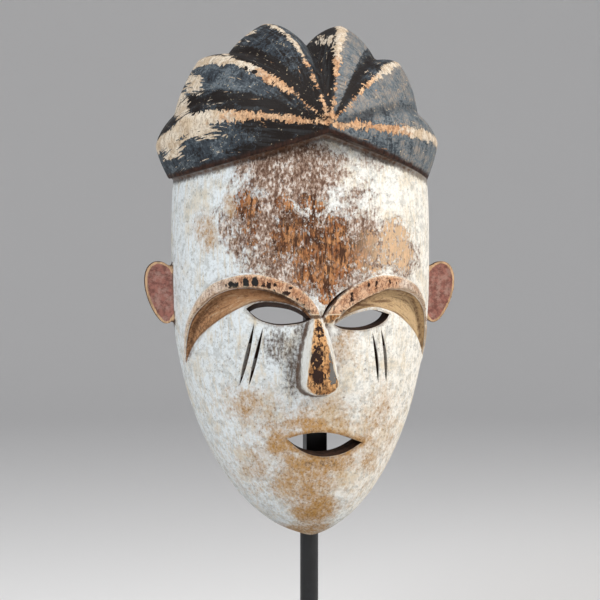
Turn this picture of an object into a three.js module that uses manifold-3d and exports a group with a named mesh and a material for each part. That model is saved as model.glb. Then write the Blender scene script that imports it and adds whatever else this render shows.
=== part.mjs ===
// Carved wooden mask with a pleated headdress, on a black steel stand.
// Millimetres, +Z up. The mask looks towards -Y. The origin is the middle of the base's underside.
import * as THREE from 'three';
import Module from 'manifold-3d';

const wasm = await Module();
wasm.setup();

// Stand
const BASE_WIDTH = 150;
const BASE_DEPTH = 120;
const BASE_THICK = 10;
const BASE_CORNER = 5;
const ROD_DIAMETER = 12.5;
const ROD_X = 8.5;
const ROD_TOP_ABOVE_CHIN = 30;
const ROD_SIDES = 32;
const BAR_SIDE = 14;
const BAR_BEFORE_BACK_PLANE = 15;
const CROSS_BAR_LENGTH = 44;
const CROSS_BAR_TOP_ABOVE_CHIN = 286;
const TOUCH_GAP = 0.3;

// Where the mask hangs over the base
const CHIN_HEIGHT = 100;
const BACK_PLANE_Y = 27;

// Head form, measured from the chin's lowest point and forward from the flat back edge
const HALF_WIDTH = 88;
const WIDEST_HEIGHT = 170;
const HEAD_TOP = 308;
const FACE_DEPTH = 84;
const CHIN_DEPTH = 24;
const DEEPEST_HEIGHT = 205;
const BROW_TO_CROWN_FALL = 18;
const CROWN_FALL_RUN = 100;
const CHIN_DRIFT = 3.7;
const WALL = 11;
const JAW_ROUNDNESS = 1.87;
const PROFILE_ROUNDNESS = 2.3;
const CROWN_SIDE_ROUNDNESS = 5;
const CROWN_FRONT_ROUNDNESS = 8;
const SECTION_ROUNDNESS = 2.3;

// Brow bands and eye sockets, as [x, height above the chin] in the front view. The face is a little uneven:
// its left side sits higher.
const BROW_RISE = 2.6;
const BROW_SIDE_RISE = 0.2;
const BROW_FADE = [0.12, 0.6];
const SIDES = [
  {
    bandTop: [[-0.8, 147.8], [-2, 154.8], [-8, 162.8], [-15.4, 168.9], [-27.3, 174], [-43, 177.5],
      [-57, 175.6], [-69.2, 169.8], [-77.5, 157.5], [-82, 140], [-81, 114.5]],
    bandLow: [[-5.3, 148.5], [-9.9, 154.9], [-18.6, 160.4], [-29, 165.2], [-42.5, 168.2], [-55, 167.6],
      [-65, 163.6], [-72.2, 157], [-78.4, 147], [-80.8, 133], [-80.7, 118]],
    cheek: [[-7, 148], [-14.6, 155.6], [-26.2, 159.2], [-38.5, 159.8], [-47.6, 157], [-60, 149.5],
      [-70, 140], [-76.5, 128], [-80, 116.5]],
  },
  {
    bandTop: [[0.4, 146.4], [11, 161.4], [22, 169.5], [36, 175.5], [47, 176.4], [60, 173.8], [71, 167],
      [79, 153], [82.5, 134], [81.3, 117]],
    bandLow: [[7.5, 145.6], [17.6, 154.1], [28.2, 160.4], [43.7, 166.4], [53.3, 166.9], [62, 165.4],
      [70.1, 161], [77.2, 152.5], [80.4, 138], [81.2, 121.5]],
    cheek: [[9.5, 145.6], [18, 151], [28, 154.6], [38, 155.6], [49.6, 152.4], [57, 148.1], [66, 140.7],
      [73.4, 132.4], [80.8, 120.5]],
  },
];
const SOCKET_DEPTH = 8;
const SOCKET_END_DEPTH = 1.5;
const SOCKET_STEPS = 18;
const SOCKET_TRIM = 0.5;
const SOCKET_FULLNESS = 0.6;
const CLEAR_OF_FACE = 12;

// Eyes and mouth: an upper edge and a lower edge that meet in two corners. Behind the face each opening is
// lower from edge to edge and lies a little to one side.
const OPENINGS = [
  {
    upper: [[-47.5, 155.2], [-42.5, 158.6], [-33.5, 159.9], [-20.2, 157.7], [-10.8, 152.8], [-6.5, 148.4]],
    lower: [[-6.5, 148.4], [-12.2, 146], [-25.7, 144.4], [-35.8, 146.4], [-42, 149.6], [-47.5, 155.2]],
    narrowing: [1, 0.72],
    shift: [-2, -1.6],
  },
  {
    upper: [[9.2, 144.6], [16, 149], [24, 152.2], [34.2, 154.1], [41, 153], [47.6, 150.8]],
    lower: [[47.6, 150.8], [45.5, 147.6], [40.7, 144.2], [33, 141.6], [23.7, 140.8], [14, 142], [9.2, 144.6]],
    narrowing: [1.06, 0.9],
    shift: [2.9, 0.8],
  },
  {
    upper: [[-19.8, 69.9], [-10, 72.9], [1.9, 74.1], [15, 72.2], [31.1, 66.4]],
    lower: [[31.1, 66.4], [23.4, 61.7], [16, 58.8], [5.7, 57.4], [-4, 59], [-12, 63], [-19.8, 69.9]],
    narrowing: [1.09, 0.84],
    shift: [-1.75, 0.9],
  },
];

// Cheek scars, from the top point to the bottom point
const SCAR_WIDTH = 2.8;
const SCAR_DEPTH = 2.8;
const SCAR_FULLNESS = 0.5;
const SCARS = [
  [[-42.1, 148], [-50.7, 104.3]],
  [[-36.5, 145.2], [-45.1, 104.1]],
  [[35.2, 141], [40.8, 105.4]],
  [[41.2, 143.8], [46.8, 106]],
];

// Nose
const NOSE_ROOT_HEIGHT = 150;
const NOSE_WING_HEIGHT = 107;
const NOSE_BOTTOM_HEIGHT = 99;
const NOSE_HALF_WIDTH = 11.1;
const NOSE_REACH = 17;
const NOSE_FLARE = 2.3;
const NOSE_MIDDLE_FLARE = 2.1;
const NOSE_BRIDGE_CURVE = 0.6;
const NOSE_TIP_ROUNDING = 0.92;
const NOSE_ROOT_X = -2.9;
const NOSE_WING_X = -1;
const NOSE_BURIED = 6;
const NOSE_UNDERCUT = 0.12;
const NOSE_CROWN = 0.1;
const NOSE_ROOT_HALF_WIDTH = 2.1;

// Headdress: pleats that fan out from one point above the forehead. The edges go round from the right
// border by valleys and crests to the left border. An angle is in degrees from +X at the outline.
// The bend is how much nearer to upright an edge leaves the fan's point.
const FAN_X = 4.5;
const FAN_HEIGHT = 274;
const FAN_LIP = 6;
const FAN_FRONT = 92;
const FAN_SHOULDER = 14;
const FAN_ROUNDNESS = 1.8;
const FAN_BACK_TAPER = 0.07;
const FAN_BEND_LATE = 4;
const PLEAT_EDGES = [
  { angle: -19.7, reach: 86, bend: 0 },
  { angle: -6.6, reach: 89, bend: 4 },
  { angle: 7, reach: 75, bend: 8 },
  { angle: 36, reach: 76, bend: 8 },
  { angle: 46, reach: 64.5, bend: 11 },
  { angle: 73, reach: 73, bend: 7 },
  { angle: 93, reach: 55, bend: -5 },
  { angle: 113.5, reach: 77, bend: 7 },
  { angle: 138.5, reach: 74.5, bend: 11 },
  { angle: 149, reach: 88, bend: 9 },
  { angle: 174.5, reach: 92, bend: 13 },
  { angle: 187, reach: 105, bend: 14 },
  { angle: 196.6, reach: 99.5, bend: 0 },
];
const PLEAT_STEPS = 4;
const FAN_FRONT_ROWS = 9;

// Ears
const EAR = {
  halfWidth: 11.3,
  halfHeight: 21.3,
  thick: 6.5,
  middle: 94.6,
  back: 6,
  topWider: 0.2,
  lean: 0.13,
};
const EAR_HEIGHTS = [{ sign: -1, height: 164 }, { sign: 1, height: 163.5 }];
const EAR_STEM_SCALE = 0.62;
const EAR_STEM_SHIFT = 5;
const EAR_STEM_OVERLAP = 1;

// How finely the curved faces are divided
const HEAD_ROWS = 30;
const HEAD_COLUMNS = 34;
const HOLLOW_ROWS = 18;
const HOLLOW_COLUMNS = 22;
const PAST_BACK = 5;
const NOSE_ROWS = 12;
const NOSE_ROW_CROWDING = 1.4;
const LENS_STEPS = 10;
const EAR_STEPS = 24;
const CUT_LENGTH = 130;
const WELD_PER_MM = 1000;

// A boolean body from points and faces. Points that fall together are welded, faces that vanish are dropped
// and a body whose faces point inwards is turned.
function weldedBody(points, faces) {
  const kept = new Map();
  const vertices = [];
  const welded = points.map((point) => {
    const key = point.toArray().map((value) => Math.round(value * WELD_PER_MM)).join();
    if (!kept.has(key)) {
      kept.set(key, vertices.length / 3);
      vertices.push(point.x, point.y, point.z);
    }
    return kept.get(key);
  });
  const index = faces.map((face) => face.map((corner) => welded[corner]))
    .filter(([a, b, c]) => a !== b && b !== c && c !== a)
    .flat();
  let volume = 0;
  for (let i = 0; i < index.length; i += 3) {
    const [a, b, c] = [0, 1, 2].map((k) => new THREE.Vector3().fromArray(vertices, index[i + k] * 3));
    volume += a.dot(b.cross(c));
  }
  return new wasm.Manifold(new wasm.Mesh({
    numProp: 3,
    vertProperties: new Float32Array(vertices),
    triVerts: new Uint32Array(volume < 0 ? index.reverse() : index),
  }));
}

// A closed body from loops of points: neighbours are joined, both ends are closed from the loop's first point
function bodyFromLoops(loops) {
  const size = loops[0].length;
  const points = loops.flat();
  const faces = [];
  for (let i = 0; i < loops.length - 1; i += 1) {
    for (let j = 0; j < size; j += 1) {
      const here = i * size + j;
      const next = i * size + ((j + 1) % size);
      faces.push([here, next, next + size], [here, next + size, here + size]);
    }
  }
  const last = (loops.length - 1) * size;
  for (let j = 1; j < size - 1; j += 1) {
    faces.push([0, j + 1, j], [last, last + j, last + j + 1]);
  }
  return weldedBody(points, faces);
}

// A boolean body from a three.js geometry
function bodyFromGeometry(geometry) {
  const position = (geometry.index ? geometry.toNonIndexed() : geometry).getAttribute('position');
  const points = [];
  const faces = [];
  for (let i = 0; i < position.count; i += 1) {
    points.push(new THREE.Vector3().fromBufferAttribute(position, i));
    if (i % 3 === 0) {
      faces.push([i, i + 1, i + 2]);
    }
  }
  return weldedBody(points, faces);
}

// The geometry of a finished boolean body
function geometryFromBody(body) {
  const mesh = body.getMesh();
  const geometry = new THREE.BufferGeometry();
  geometry.setAttribute('position', new THREE.BufferAttribute(new Float32Array(mesh.vertProperties), 3));
  geometry.setIndex(Array.from(mesh.triVerts));
  geometry.computeVertexNormals();
  return geometry;
}

// A flat outline of [x, height] points pushed forwards from the back plane
function forwardPrism(outline, reach) {
  const shape = new THREE.Shape(outline.map(([x, z]) => new THREE.Vector2(x, z)));
  const geometry = new THREE.ExtrudeGeometry(shape, { depth: reach, bevelEnabled: false });
  geometry.rotateX(Math.PI / 2);
  return bodyFromGeometry(geometry);
}

const falling = (fraction, roundness, root) => Math.max(0, 1 - Math.abs(fraction) ** roundness) ** (1 / root);

// The egg of the head, cut flat at the back. A positive inset gives the hollow, a negative one a raised skin.
function headForm(inset) {
  const low = inset;
  const high = HEAD_TOP - inset;
  const halfWidth = HALF_WIDTH - inset;
  const depth = FACE_DEPTH - inset;
  const chinDepth = CHIN_DEPTH - inset;
  const crownPart = (z) => (z - WIDEST_HEIGHT) / (high - WIDEST_HEIGHT);
  const halfWidthAt = (z) => (z < WIDEST_HEIGHT
    ? halfWidth * falling((WIDEST_HEIGHT - z) / (WIDEST_HEIGHT - low), JAW_ROUNDNESS, JAW_ROUNDNESS)
    : halfWidth * falling(crownPart(z), CROWN_SIDE_ROUNDNESS, 2));
  const depthAt = (z) => {
    if (z < DEEPEST_HEIGHT) {
      const part = (DEEPEST_HEIGHT - z) / (DEEPEST_HEIGHT - low);
      return chinDepth + (depth - chinDepth) * falling(part, PROFILE_ROUNDNESS, 2);
    }
    const slope = depth - BROW_TO_CROWN_FALL * ((z - DEEPEST_HEIGHT) / CROWN_FALL_RUN) ** 2;
    return slope * falling(crownPart(z), CROWN_FRONT_ROUNDNESS, 2);
  };
  const middleAt = (z) => CHIN_DRIFT * Math.max(0, 1 - z / WIDEST_HEIGHT) ** 2;
  const pointAt = (z, angle) => {
    const across = Math.sign(Math.cos(angle)) * Math.abs(Math.cos(angle)) ** (2 / SECTION_ROUNDNESS);
    const forward = Math.abs(Math.sin(angle)) ** (2 / SECTION_ROUNDNESS);
    return new THREE.Vector3(middleAt(z) + halfWidthAt(z) * across, -depthAt(z) * forward, z);
  };
  return { low, high, halfWidthAt, middleAt, pointAt };
}

const OUTER = headForm(0);

// The place on the head, or the given depth below it, that lies behind a point of the front view
function onFace(x, z, inset) {
  const part = (x - OUTER.middleAt(z)) / OUTER.halfWidthAt(z);
  const across = Math.sign(part) * Math.min(1, Math.abs(part)) ** (SECTION_ROUNDNESS / 2);
  return headForm(inset).pointAt(z, Math.acos(across));
}

// A head form as a solid. Rows crowd together towards the chin and the crown, where it turns fastest.
// Its sides may have another inset than its front: the brows' skin thins out there.
function headSolid(inset, rows, columns, pastBack, sideInset = inset) {
  const form = headForm(inset);
  const sideForm = headForm(sideInset);
  const loops = [];
  for (let i = 0; i <= rows; i += 1) {
    const z = form.low + (form.high - form.low) * (1 - Math.cos(Math.PI * i / rows)) / 2;
    const loop = [];
    for (let j = 0; j <= columns; j += 1) {
      const angle = Math.PI * j / columns;
      const front = THREE.MathUtils.smoothstep(Math.sin(angle), ...BROW_FADE);
      loop.push(sideForm.pointAt(z, angle).lerp(form.pointAt(z, angle), front));
    }
    if (pastBack > 0) {
      const [first, end] = [loop[0], loop[columns]];
      loop.unshift(new THREE.Vector3(first.x, pastBack, z));
      loop.push(new THREE.Vector3(end.x, pastBack, z));
    }
    loops.push(loop);
  }
  return bodyFromLoops(loops);
}

// Points along a smooth curve through [x, height] pairs, evenly spaced
function smoothLine(pairs, steps) {
  const curve = new THREE.SplineCurve(pairs.map(([x, z]) => new THREE.Vector2(x, z)));
  return curve.getSpacedPoints(steps).map((point) => [point.x, point.y]);
}

// One raised brow band, as thick as the skin it is cut from
function browBand({ bandTop, bandLow }, skin) {
  const outline = [...smoothLine(bandTop, SOCKET_STEPS), ...smoothLine(bandLow, SOCKET_STEPS).reverse()];
  return forwardPrism(outline, CUT_LENGTH).intersect(skin);
}

// One eye socket: deepest right under the brow, running out to nothing at the cheek
function socketCut({ bandLow, cheek }) {
  const top = smoothLine(bandLow, SOCKET_STEPS).map(([x, z]) => [x, z + SOCKET_TRIM]);
  const low = smoothLine(cheek, SOCKET_STEPS);
  const loops = top.map(([x, z], i) => {
    const swell = Math.sin(Math.PI * i / SOCKET_STEPS) ** SOCKET_FULLNESS;
    const depth = SOCKET_END_DEPTH + (SOCKET_DEPTH - SOCKET_END_DEPTH) * swell;
    const [lowX, lowZ] = low[i];
    return [
      onFace(x, z, -CLEAR_OF_FACE),
      onFace(x, z, depth),
      onFace(lowX, lowZ, 0),
      onFace(lowX, lowZ, -CLEAR_OF_FACE),
    ];
  });
  return bodyFromLoops(loops);
}

// The cut for an eye or the mouth
function openingCut({ upper, lower, narrowing, shift }) {
  const edge = [...smoothLine(upper, LENS_STEPS).slice(1), ...smoothLine(lower, LENS_STEPS).slice(1)];
  const [left, right] = [upper[0], lower[0]];
  const middle = [(left[0] + right[0]) / 2, (left[1] + right[1]) / 2];
  const behind = edge.map((point) => point.map((value, k) => (
    middle[k] + shift[k] + (value - middle[k]) * narrowing[k]
  )));
  const loop = (points, reach) => points.map(([x, z]) => new THREE.Vector3(x, reach(x, z), z));
  return bodyFromLoops([
    loop(edge, () => -CUT_LENGTH),
    loop(edge, (x, z) => onFace(x, z, 0).y),
    loop(behind, (x, z) => onFace(x, z, WALL).y),
    loop(behind, () => 0),
  ]);
}

// A thin slit between two points of the front view, pointed at both ends
function scarOutline([top, bottom]) {
  const [start, end] = [new THREE.Vector2(...top), new THREE.Vector2(...bottom)];
  const along = end.clone().sub(start);
  const aside = new THREE.Vector2(-along.y, along.x).normalize();
  const points = [];
  for (let i = 0; i < 2 * LENS_STEPS; i += 1) {
    const part = i / LENS_STEPS;
    const down = part < 1 ? part : 2 - part;
    const bulge = Math.sign(1 - part) * SCAR_WIDTH / 2 * Math.sin(Math.PI * down) ** SCAR_FULLNESS;
    points.push(start.clone().addScaledVector(along, down).addScaledVector(aside, bulge).toArray());
  }
  return points;
}

// The nose: a flat front that widens downwards, steep sides and a rounded underside
function nose() {
  const loops = [];
  for (let i = 0; i <= NOSE_ROWS; i += 1) {
    const rise = (i / NOSE_ROWS) ** NOSE_ROW_CROWDING;
    const z = NOSE_BOTTOM_HEIGHT + (NOSE_ROOT_HEIGHT - NOSE_BOTTOM_HEIGHT) * rise;
    const up = Math.max(0, (z - NOSE_WING_HEIGHT) / (NOSE_ROOT_HEIGHT - NOSE_WING_HEIGHT));
    const under = Math.max(0, (NOSE_WING_HEIGHT - z) / (NOSE_WING_HEIGHT - NOSE_BOTTOM_HEIGHT));
    const rounding = Math.sqrt(1 - NOSE_TIP_ROUNDING * under * under);
    const half = (NOSE_ROOT_HALF_WIDTH + (NOSE_HALF_WIDTH - NOSE_ROOT_HALF_WIDTH) * (1 - up)) * rounding;
    const bridge = BROW_RISE + (NOSE_REACH - BROW_RISE) * (1 - up) ** NOSE_BRIDGE_CURVE;
    const reach = bridge * (1 - NOSE_UNDERCUT * under * under);
    const foot = half + NOSE_FLARE + NOSE_MIDDLE_FLARE * Math.sin(Math.PI * up);
    const x = NOSE_WING_X + (NOSE_ROOT_X - NOSE_WING_X) * up;
    const face = onFace(0, z, 0).y;
    const crown = NOSE_CROWN * half;
    const corners = [
      [-foot, face + NOSE_BURIED], [-foot, face], [-half, face - reach], [0, face - reach - crown],
      [half, face - reach], [foot, face], [foot, face + NOSE_BURIED],
    ];
    loops.push(corners.map(([across, y]) => new THREE.Vector3(x + across, y, z)));
  }
  return bodyFromLoops(loops);
}

// The pleats' edges with points between them: steep out of each valley, then easing over to the crest
function pleatColumns() {
  const last = PLEAT_EDGES.length - 1;
  const columns = [];
  for (let i = 0; i < last; i += 1) {
    const [from, to] = [PLEAT_EDGES[i], PLEAT_EDGES[i + 1]];
    const crestIsNext = i % 2 === 0;
    for (let k = 0; k < PLEAT_STEPS; k += 1) {
      const part = k / PLEAT_STEPS;
      const fromValley = crestIsNext ? part : 1 - part;
      const ease = (fromValley + Math.sin(fromValley * Math.PI / 2)) / 2;
      const [valley, crest] = crestIsNext ? [from.reach, to.reach] : [to.reach, from.reach];
      const atBorder = (i === 0 ? 1 - part : 0) + (i === last - 1 ? part : 0);
      columns.push({
        angle: from.angle + (to.angle - from.angle) * part,
        reach: valley + (crest - valley) * ease,
        bend: from.bend + (to.bend - from.bend) * part,
        lip: FAN_LIP * atBorder,
      });
    }
  }
  const end = PLEAT_EDGES[last];
  columns.push({ ...end, lip: FAN_LIP });
  return columns;
}

// The headdress as sections from its front point to the flat back
function headdress() {
  const columns = pleatColumns();
  const sections = [];
  for (let i = 0; i <= FAN_FRONT_ROWS; i += 1) {
    const turn = Math.PI / 2 * i / FAN_FRONT_ROWS;
    const out = Math.sin(turn) ** (2 / FAN_ROUNDNESS);
    const forward = Math.max(0, Math.cos(turn)) ** (2 / FAN_ROUNDNESS);
    sections.push({ out, y: -FAN_SHOULDER - (FAN_FRONT - FAN_SHOULDER) * forward });
  }
  sections.push({ out: 1 - FAN_BACK_TAPER / 4, y: -FAN_SHOULDER / 2 }, { out: 1 - FAN_BACK_TAPER, y: 0 });
  const loops = sections.map(({ out, y }) => {
    const heart = new THREE.Vector3(FAN_X, y, FAN_HEIGHT - FAN_LIP);
    const rim = columns.map(({ angle, reach, bend, lip }) => {
      const towardsUpright = Math.sign(angle - 90) * bend * (1 - out ** FAN_BEND_LATE);
      const turn = THREE.MathUtils.degToRad(angle - towardsUpright);
      return new THREE.Vector3(
        FAN_X + reach * out * Math.cos(turn),
        y,
        FAN_HEIGHT - lip + reach * out * Math.sin(turn),
      );
    });
    return [heart, ...rim];
  });
  return bodyFromLoops(loops);
}

// An egg-shaped outline about a middle point, wider at its top and leaning in towards the head at its foot
function eggOutline(x, z, scale) {
  const points = [];
  for (let i = 0; i < EAR_STEPS; i += 1) {
    const turn = 2 * Math.PI * i / EAR_STEPS;
    const wide = EAR.halfWidth * (1 + EAR.topWider * Math.sin(turn));
    const rise = scale * EAR.halfHeight * Math.sin(turn);
    points.push([x + scale * wide * Math.cos(turn) + Math.sign(x) * EAR.lean * rise, z + rise]);
  }
  return points;
}

// One ear: a flat disc in front of a smaller stem that grows out of the head's edge
function ear({ sign, height }) {
  const disc = forwardPrism(eggOutline(sign * EAR.middle, height, 1), EAR.thick).translate([0, -EAR.back, 0]);
  const stemX = sign * (EAR.middle - EAR_STEM_SHIFT);
  const stem = forwardPrism(eggOutline(stemX, height, EAR_STEM_SCALE), EAR.back + EAR_STEM_OVERLAP);
  return disc.add(stem);
}

function maskBody() {
  const skin = headSolid(-BROW_RISE, HEAD_ROWS, HEAD_COLUMNS, 0, -BROW_SIDE_RISE);
  const underScars = headSolid(SCAR_DEPTH, HEAD_ROWS, HEAD_COLUMNS, 0);
  let body = headSolid(0, HEAD_ROWS, HEAD_COLUMNS, 0);
  for (const side of SIDES) {
    body = body.add(browBand(side, skin)).subtract(socketCut(side));
  }
  body = body.add(nose()).add(headdress());
  for (const place of EAR_HEIGHTS) {
    body = body.add(ear(place));
  }
  body = body.subtract(headSolid(WALL, HOLLOW_ROWS, HOLLOW_COLUMNS, PAST_BACK));
  for (const scar of SCARS) {
    body = body.subtract(forwardPrism(scarOutline(scar), CUT_LENGTH).subtract(underScars));
  }
  for (const opening of OPENINGS) {
    body = body.subtract(openingCut(opening));
  }
  return body;
}

// Materials
const wood = new THREE.MeshStandardMaterial({ color: 0xc8c1b2, roughness: 0.85, metalness: 0 });
const blackSteel = new THREE.MeshStandardMaterial({ color: 0x141414, roughness: 0.45, metalness: 0.4 });

const object = new THREE.Group();

function addPiece(name, geometry, material, x, y, z) {
  const mesh = new THREE.Mesh(geometry, material);
  mesh.name = name;
  mesh.position.set(x, y, z);
  object.add(mesh);
}

// Foot plate with rounded corners
function baseGeometry() {
  const [right, back] = [BASE_WIDTH / 2, BASE_DEPTH / 2];
  const shape = new THREE.Shape();
  shape.moveTo(-right + BASE_CORNER, -back);
  shape.lineTo(right - BASE_CORNER, -back);
  shape.absarc(right - BASE_CORNER, -back + BASE_CORNER, BASE_CORNER, -Math.PI / 2, 0);
  shape.absarc(right - BASE_CORNER, back - BASE_CORNER, BASE_CORNER, 0, Math.PI / 2);
  shape.absarc(-right + BASE_CORNER, back - BASE_CORNER, BASE_CORNER, Math.PI / 2, Math.PI);
  shape.absarc(-right + BASE_CORNER, -back + BASE_CORNER, BASE_CORNER, Math.PI, 1.5 * Math.PI);
  return new THREE.ExtrudeGeometry(shape, { depth: BASE_THICK, bevelEnabled: false, curveSegments: 5 });
}

// Bent bar: an arm over the rod's end, an upright inside the mask and a short cross bar on top
function bracketGeometry(armLength, uprightHeight) {
  const half = BAR_SIDE / 2;
  const profile = new THREE.Shape();
  profile.moveTo(-half, 0);
  profile.lineTo(armLength + half, 0);
  profile.lineTo(armLength + half, BAR_SIDE);
  profile.lineTo(half, BAR_SIDE);
  profile.lineTo(half, uprightHeight);
  profile.lineTo(-half, uprightHeight);
  const bent = new THREE.ExtrudeGeometry(profile, { depth: BAR_SIDE, bevelEnabled: false });
  bent.rotateX(Math.PI / 2);
  bent.rotateZ(Math.PI / 2);
  bent.translate(-half, 0, 0);
  const cross = new THREE.BoxGeometry(CROSS_BAR_LENGTH, BAR_SIDE, BAR_SIDE);
  cross.translate(0, 0, uprightHeight - half);
  return geometryFromBody(bodyFromGeometry(bent).add(bodyFromGeometry(cross)));
}

const rodY = BACK_PLANE_Y + ROD_DIAMETER / 2 + TOUCH_GAP;
const barY = BACK_PLANE_Y - BAR_BEFORE_BACK_PLANE;
const rodBottom = BASE_THICK + TOUCH_GAP;
const rodTop = CHIN_HEIGHT + ROD_TOP_ABOVE_CHIN;
const bracketBottom = rodTop + TOUCH_GAP;
const uprightHeight = CHIN_HEIGHT + CROSS_BAR_TOP_ABOVE_CHIN - bracketBottom;

const rod = new THREE.CylinderGeometry(ROD_DIAMETER / 2, ROD_DIAMETER / 2, rodTop - rodBottom, ROD_SIDES);
rod.rotateX(Math.PI / 2);

addPiece('mask', geometryFromBody(maskBody()), wood, 0, BACK_PLANE_Y, CHIN_HEIGHT);
addPiece('stand_base', baseGeometry(), blackSteel, 0, 0, 0);
addPiece('stand_rod', rod, blackSteel, ROD_X, rodY, (rodBottom + rodTop) / 2);
const bracket = bracketGeometry(rodY - barY, uprightHeight);
addPiece('stand_bracket', bracket, blackSteel, ROD_X, barY, bracketBottom);

export default object;
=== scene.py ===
"""A carved face mask with a pleated headdress, held upright on a black steel stand.

The mask's classes give their sizes in millimetres, in the mask's own frame: x to the viewer's right,
y backwards from the flat back edge, z up from the chin's lowest point. Meshes are in metres in the
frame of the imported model.
"""

import logging
import math
from dataclasses import dataclass, field
from enum import Enum
from typing import Any, Iterable, NamedTuple, Sequence

import bmesh
import bpy
import numpy as np
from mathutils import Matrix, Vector
from mathutils.kdtree import KDTree


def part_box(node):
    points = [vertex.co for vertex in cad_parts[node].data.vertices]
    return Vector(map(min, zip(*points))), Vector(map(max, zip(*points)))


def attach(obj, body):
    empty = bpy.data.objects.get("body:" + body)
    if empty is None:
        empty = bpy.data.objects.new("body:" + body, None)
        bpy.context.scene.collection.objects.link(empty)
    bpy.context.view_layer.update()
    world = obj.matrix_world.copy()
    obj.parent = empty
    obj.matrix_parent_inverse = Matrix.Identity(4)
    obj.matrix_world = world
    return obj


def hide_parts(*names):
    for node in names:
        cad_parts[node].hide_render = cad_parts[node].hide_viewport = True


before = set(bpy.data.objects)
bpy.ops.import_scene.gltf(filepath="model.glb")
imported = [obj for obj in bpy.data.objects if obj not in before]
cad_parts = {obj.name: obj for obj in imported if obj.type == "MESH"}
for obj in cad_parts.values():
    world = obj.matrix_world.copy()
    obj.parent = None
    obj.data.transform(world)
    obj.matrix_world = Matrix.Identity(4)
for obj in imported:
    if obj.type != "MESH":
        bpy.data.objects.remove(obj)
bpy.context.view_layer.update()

MM = 0.001
SAME_PLACE = 1e-6
TINY = 1e-6
SMALL_AREA = 0.01
STEPS_BETWEEN_KNOTS = 16
CHIN = np.array([0.0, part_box("mask")[1].y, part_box("mask")[0].z])
LOG = logging.getLogger("mask")

Array = np.ndarray
Point = tuple[float, float]


class Join(Enum):
    """How a boolean puts two solids together."""

    ADD = "UNION"
    CUT = "DIFFERENCE"
    KEEP = "INTERSECT"


class Side(Enum):
    """A side of the face as the viewer sees it. The value is its sign in x."""

    LEFT = -1.0
    RIGHT = 1.0


def to_frame(points: Array) -> Array:
    """Millimetres in the mask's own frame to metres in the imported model's frame."""
    return points * MM + CHIN


def to_mask(points: Array) -> Array:
    """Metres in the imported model's frame to millimetres in the mask's own frame."""
    return (points - CHIN) / MM


def falling(fraction: Array, roundness: float, root: float) -> Array:
    """A rounded fall from 1 at the fraction 0 to 0 at the fraction 1."""
    return np.maximum(0.0, 1.0 - np.abs(fraction) ** roundness) ** (1.0 / root)


def smooth_step(low: float, high: float, value: Array) -> Array:
    """A soft rise from 0 where the value is low to 1 where it is high."""
    part = np.clip((value - low) / (high - low), 0.0, 1.0)
    return part * part * (3.0 - 2.0 * part)


def smooth_line(pairs: Sequence[Point], steps: int) -> Array:
    """Evenly spaced points along a smooth curve.

    Args:
        pairs: The points that the curve passes through.
        steps: The number of equal lengths that the curve is divided into.

    Returns:
        An array of steps + 1 points.
    """
    knots = np.array(pairs, float)
    padded = np.vstack([knots[:1], knots, knots[-1:]])
    fine = []
    for i in range(len(knots) - 1):
        before, start, end, after = padded[i:i + 4]
        t = np.linspace(0.0, 1.0, STEPS_BETWEEN_KNOTS, endpoint=False)[:, None]
        leave = (end - before) / 2
        arrive = (after - start) / 2
        fine.append((2 * t**3 - 3 * t**2 + 1) * start + (t**3 - 2 * t**2 + t) * leave
                    + (3 * t**2 - 2 * t**3) * end + (t**3 - t**2) * arrive)
    line = np.vstack([*fine, knots[-1:]])
    length = np.append(0.0, np.cumsum(np.linalg.norm(np.diff(line, axis=0), axis=1)))
    even = np.linspace(0.0, length[-1], steps + 1)
    return np.stack([np.interp(even, length, line[:, k]) for k in range(2)], axis=1)


def inside_by(points: Array, outline: Array) -> Array:
    """How far points of a plane lie inside a closed outline.

    Args:
        points: An array of 2D points.
        outline: The outline's corners in order.

    Returns:
        The distance to the outline, negative outside it.
    """
    nearest = np.full(len(points), np.inf)
    crossings = np.zeros(len(points), int)
    x, z = points.T
    for start, end in zip(outline, np.roll(outline, -1, axis=0)):
        along = end - start
        part = np.clip((points - start) @ along / max(along @ along, TINY), 0.0, 1.0)
        nearest = np.minimum(nearest, np.linalg.norm(points - start - part[:, None] * along, axis=1))
        spans = (start[1] > z) != (end[1] > z)
        rise = along[1] or TINY
        crossings += spans & (x < start[0] + along[0] * (z - start[1]) / rise)
    return np.where(crossings % 2 == 1, nearest, -nearest)


def inside_any(points: Array, outlines: Iterable[Array]) -> Array:
    """How far points lie inside the one of several outlines that holds them deepest."""
    return np.max([inside_by(points, outline) for outline in outlines], axis=0)


def linked(name: str, data: bpy.types.ID) -> bpy.types.Object:
    """A new object with its data, in the scene."""
    made = bpy.data.objects.new(name, data)
    bpy.context.scene.collection.objects.link(made)
    return made


def numbers(items: Any, name: str, width: int = 1, kind: type = float) -> Array:
    """A property of each of a mesh's items, one row an item where it holds several numbers."""
    values = np.empty(len(items) * width, kind)
    items.foreach_get(name, values)
    return values.reshape(-1, width) if width > 1 else values


def store(mesh: bpy.types.Mesh, name: str, values: Sequence[float] | Array) -> None:
    """Writes a number for each of a mesh's points down as an attribute."""
    mesh.attributes.new(name, "FLOAT", "POINT").data.foreach_set("value", np.asarray(values, np.float32))


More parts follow.
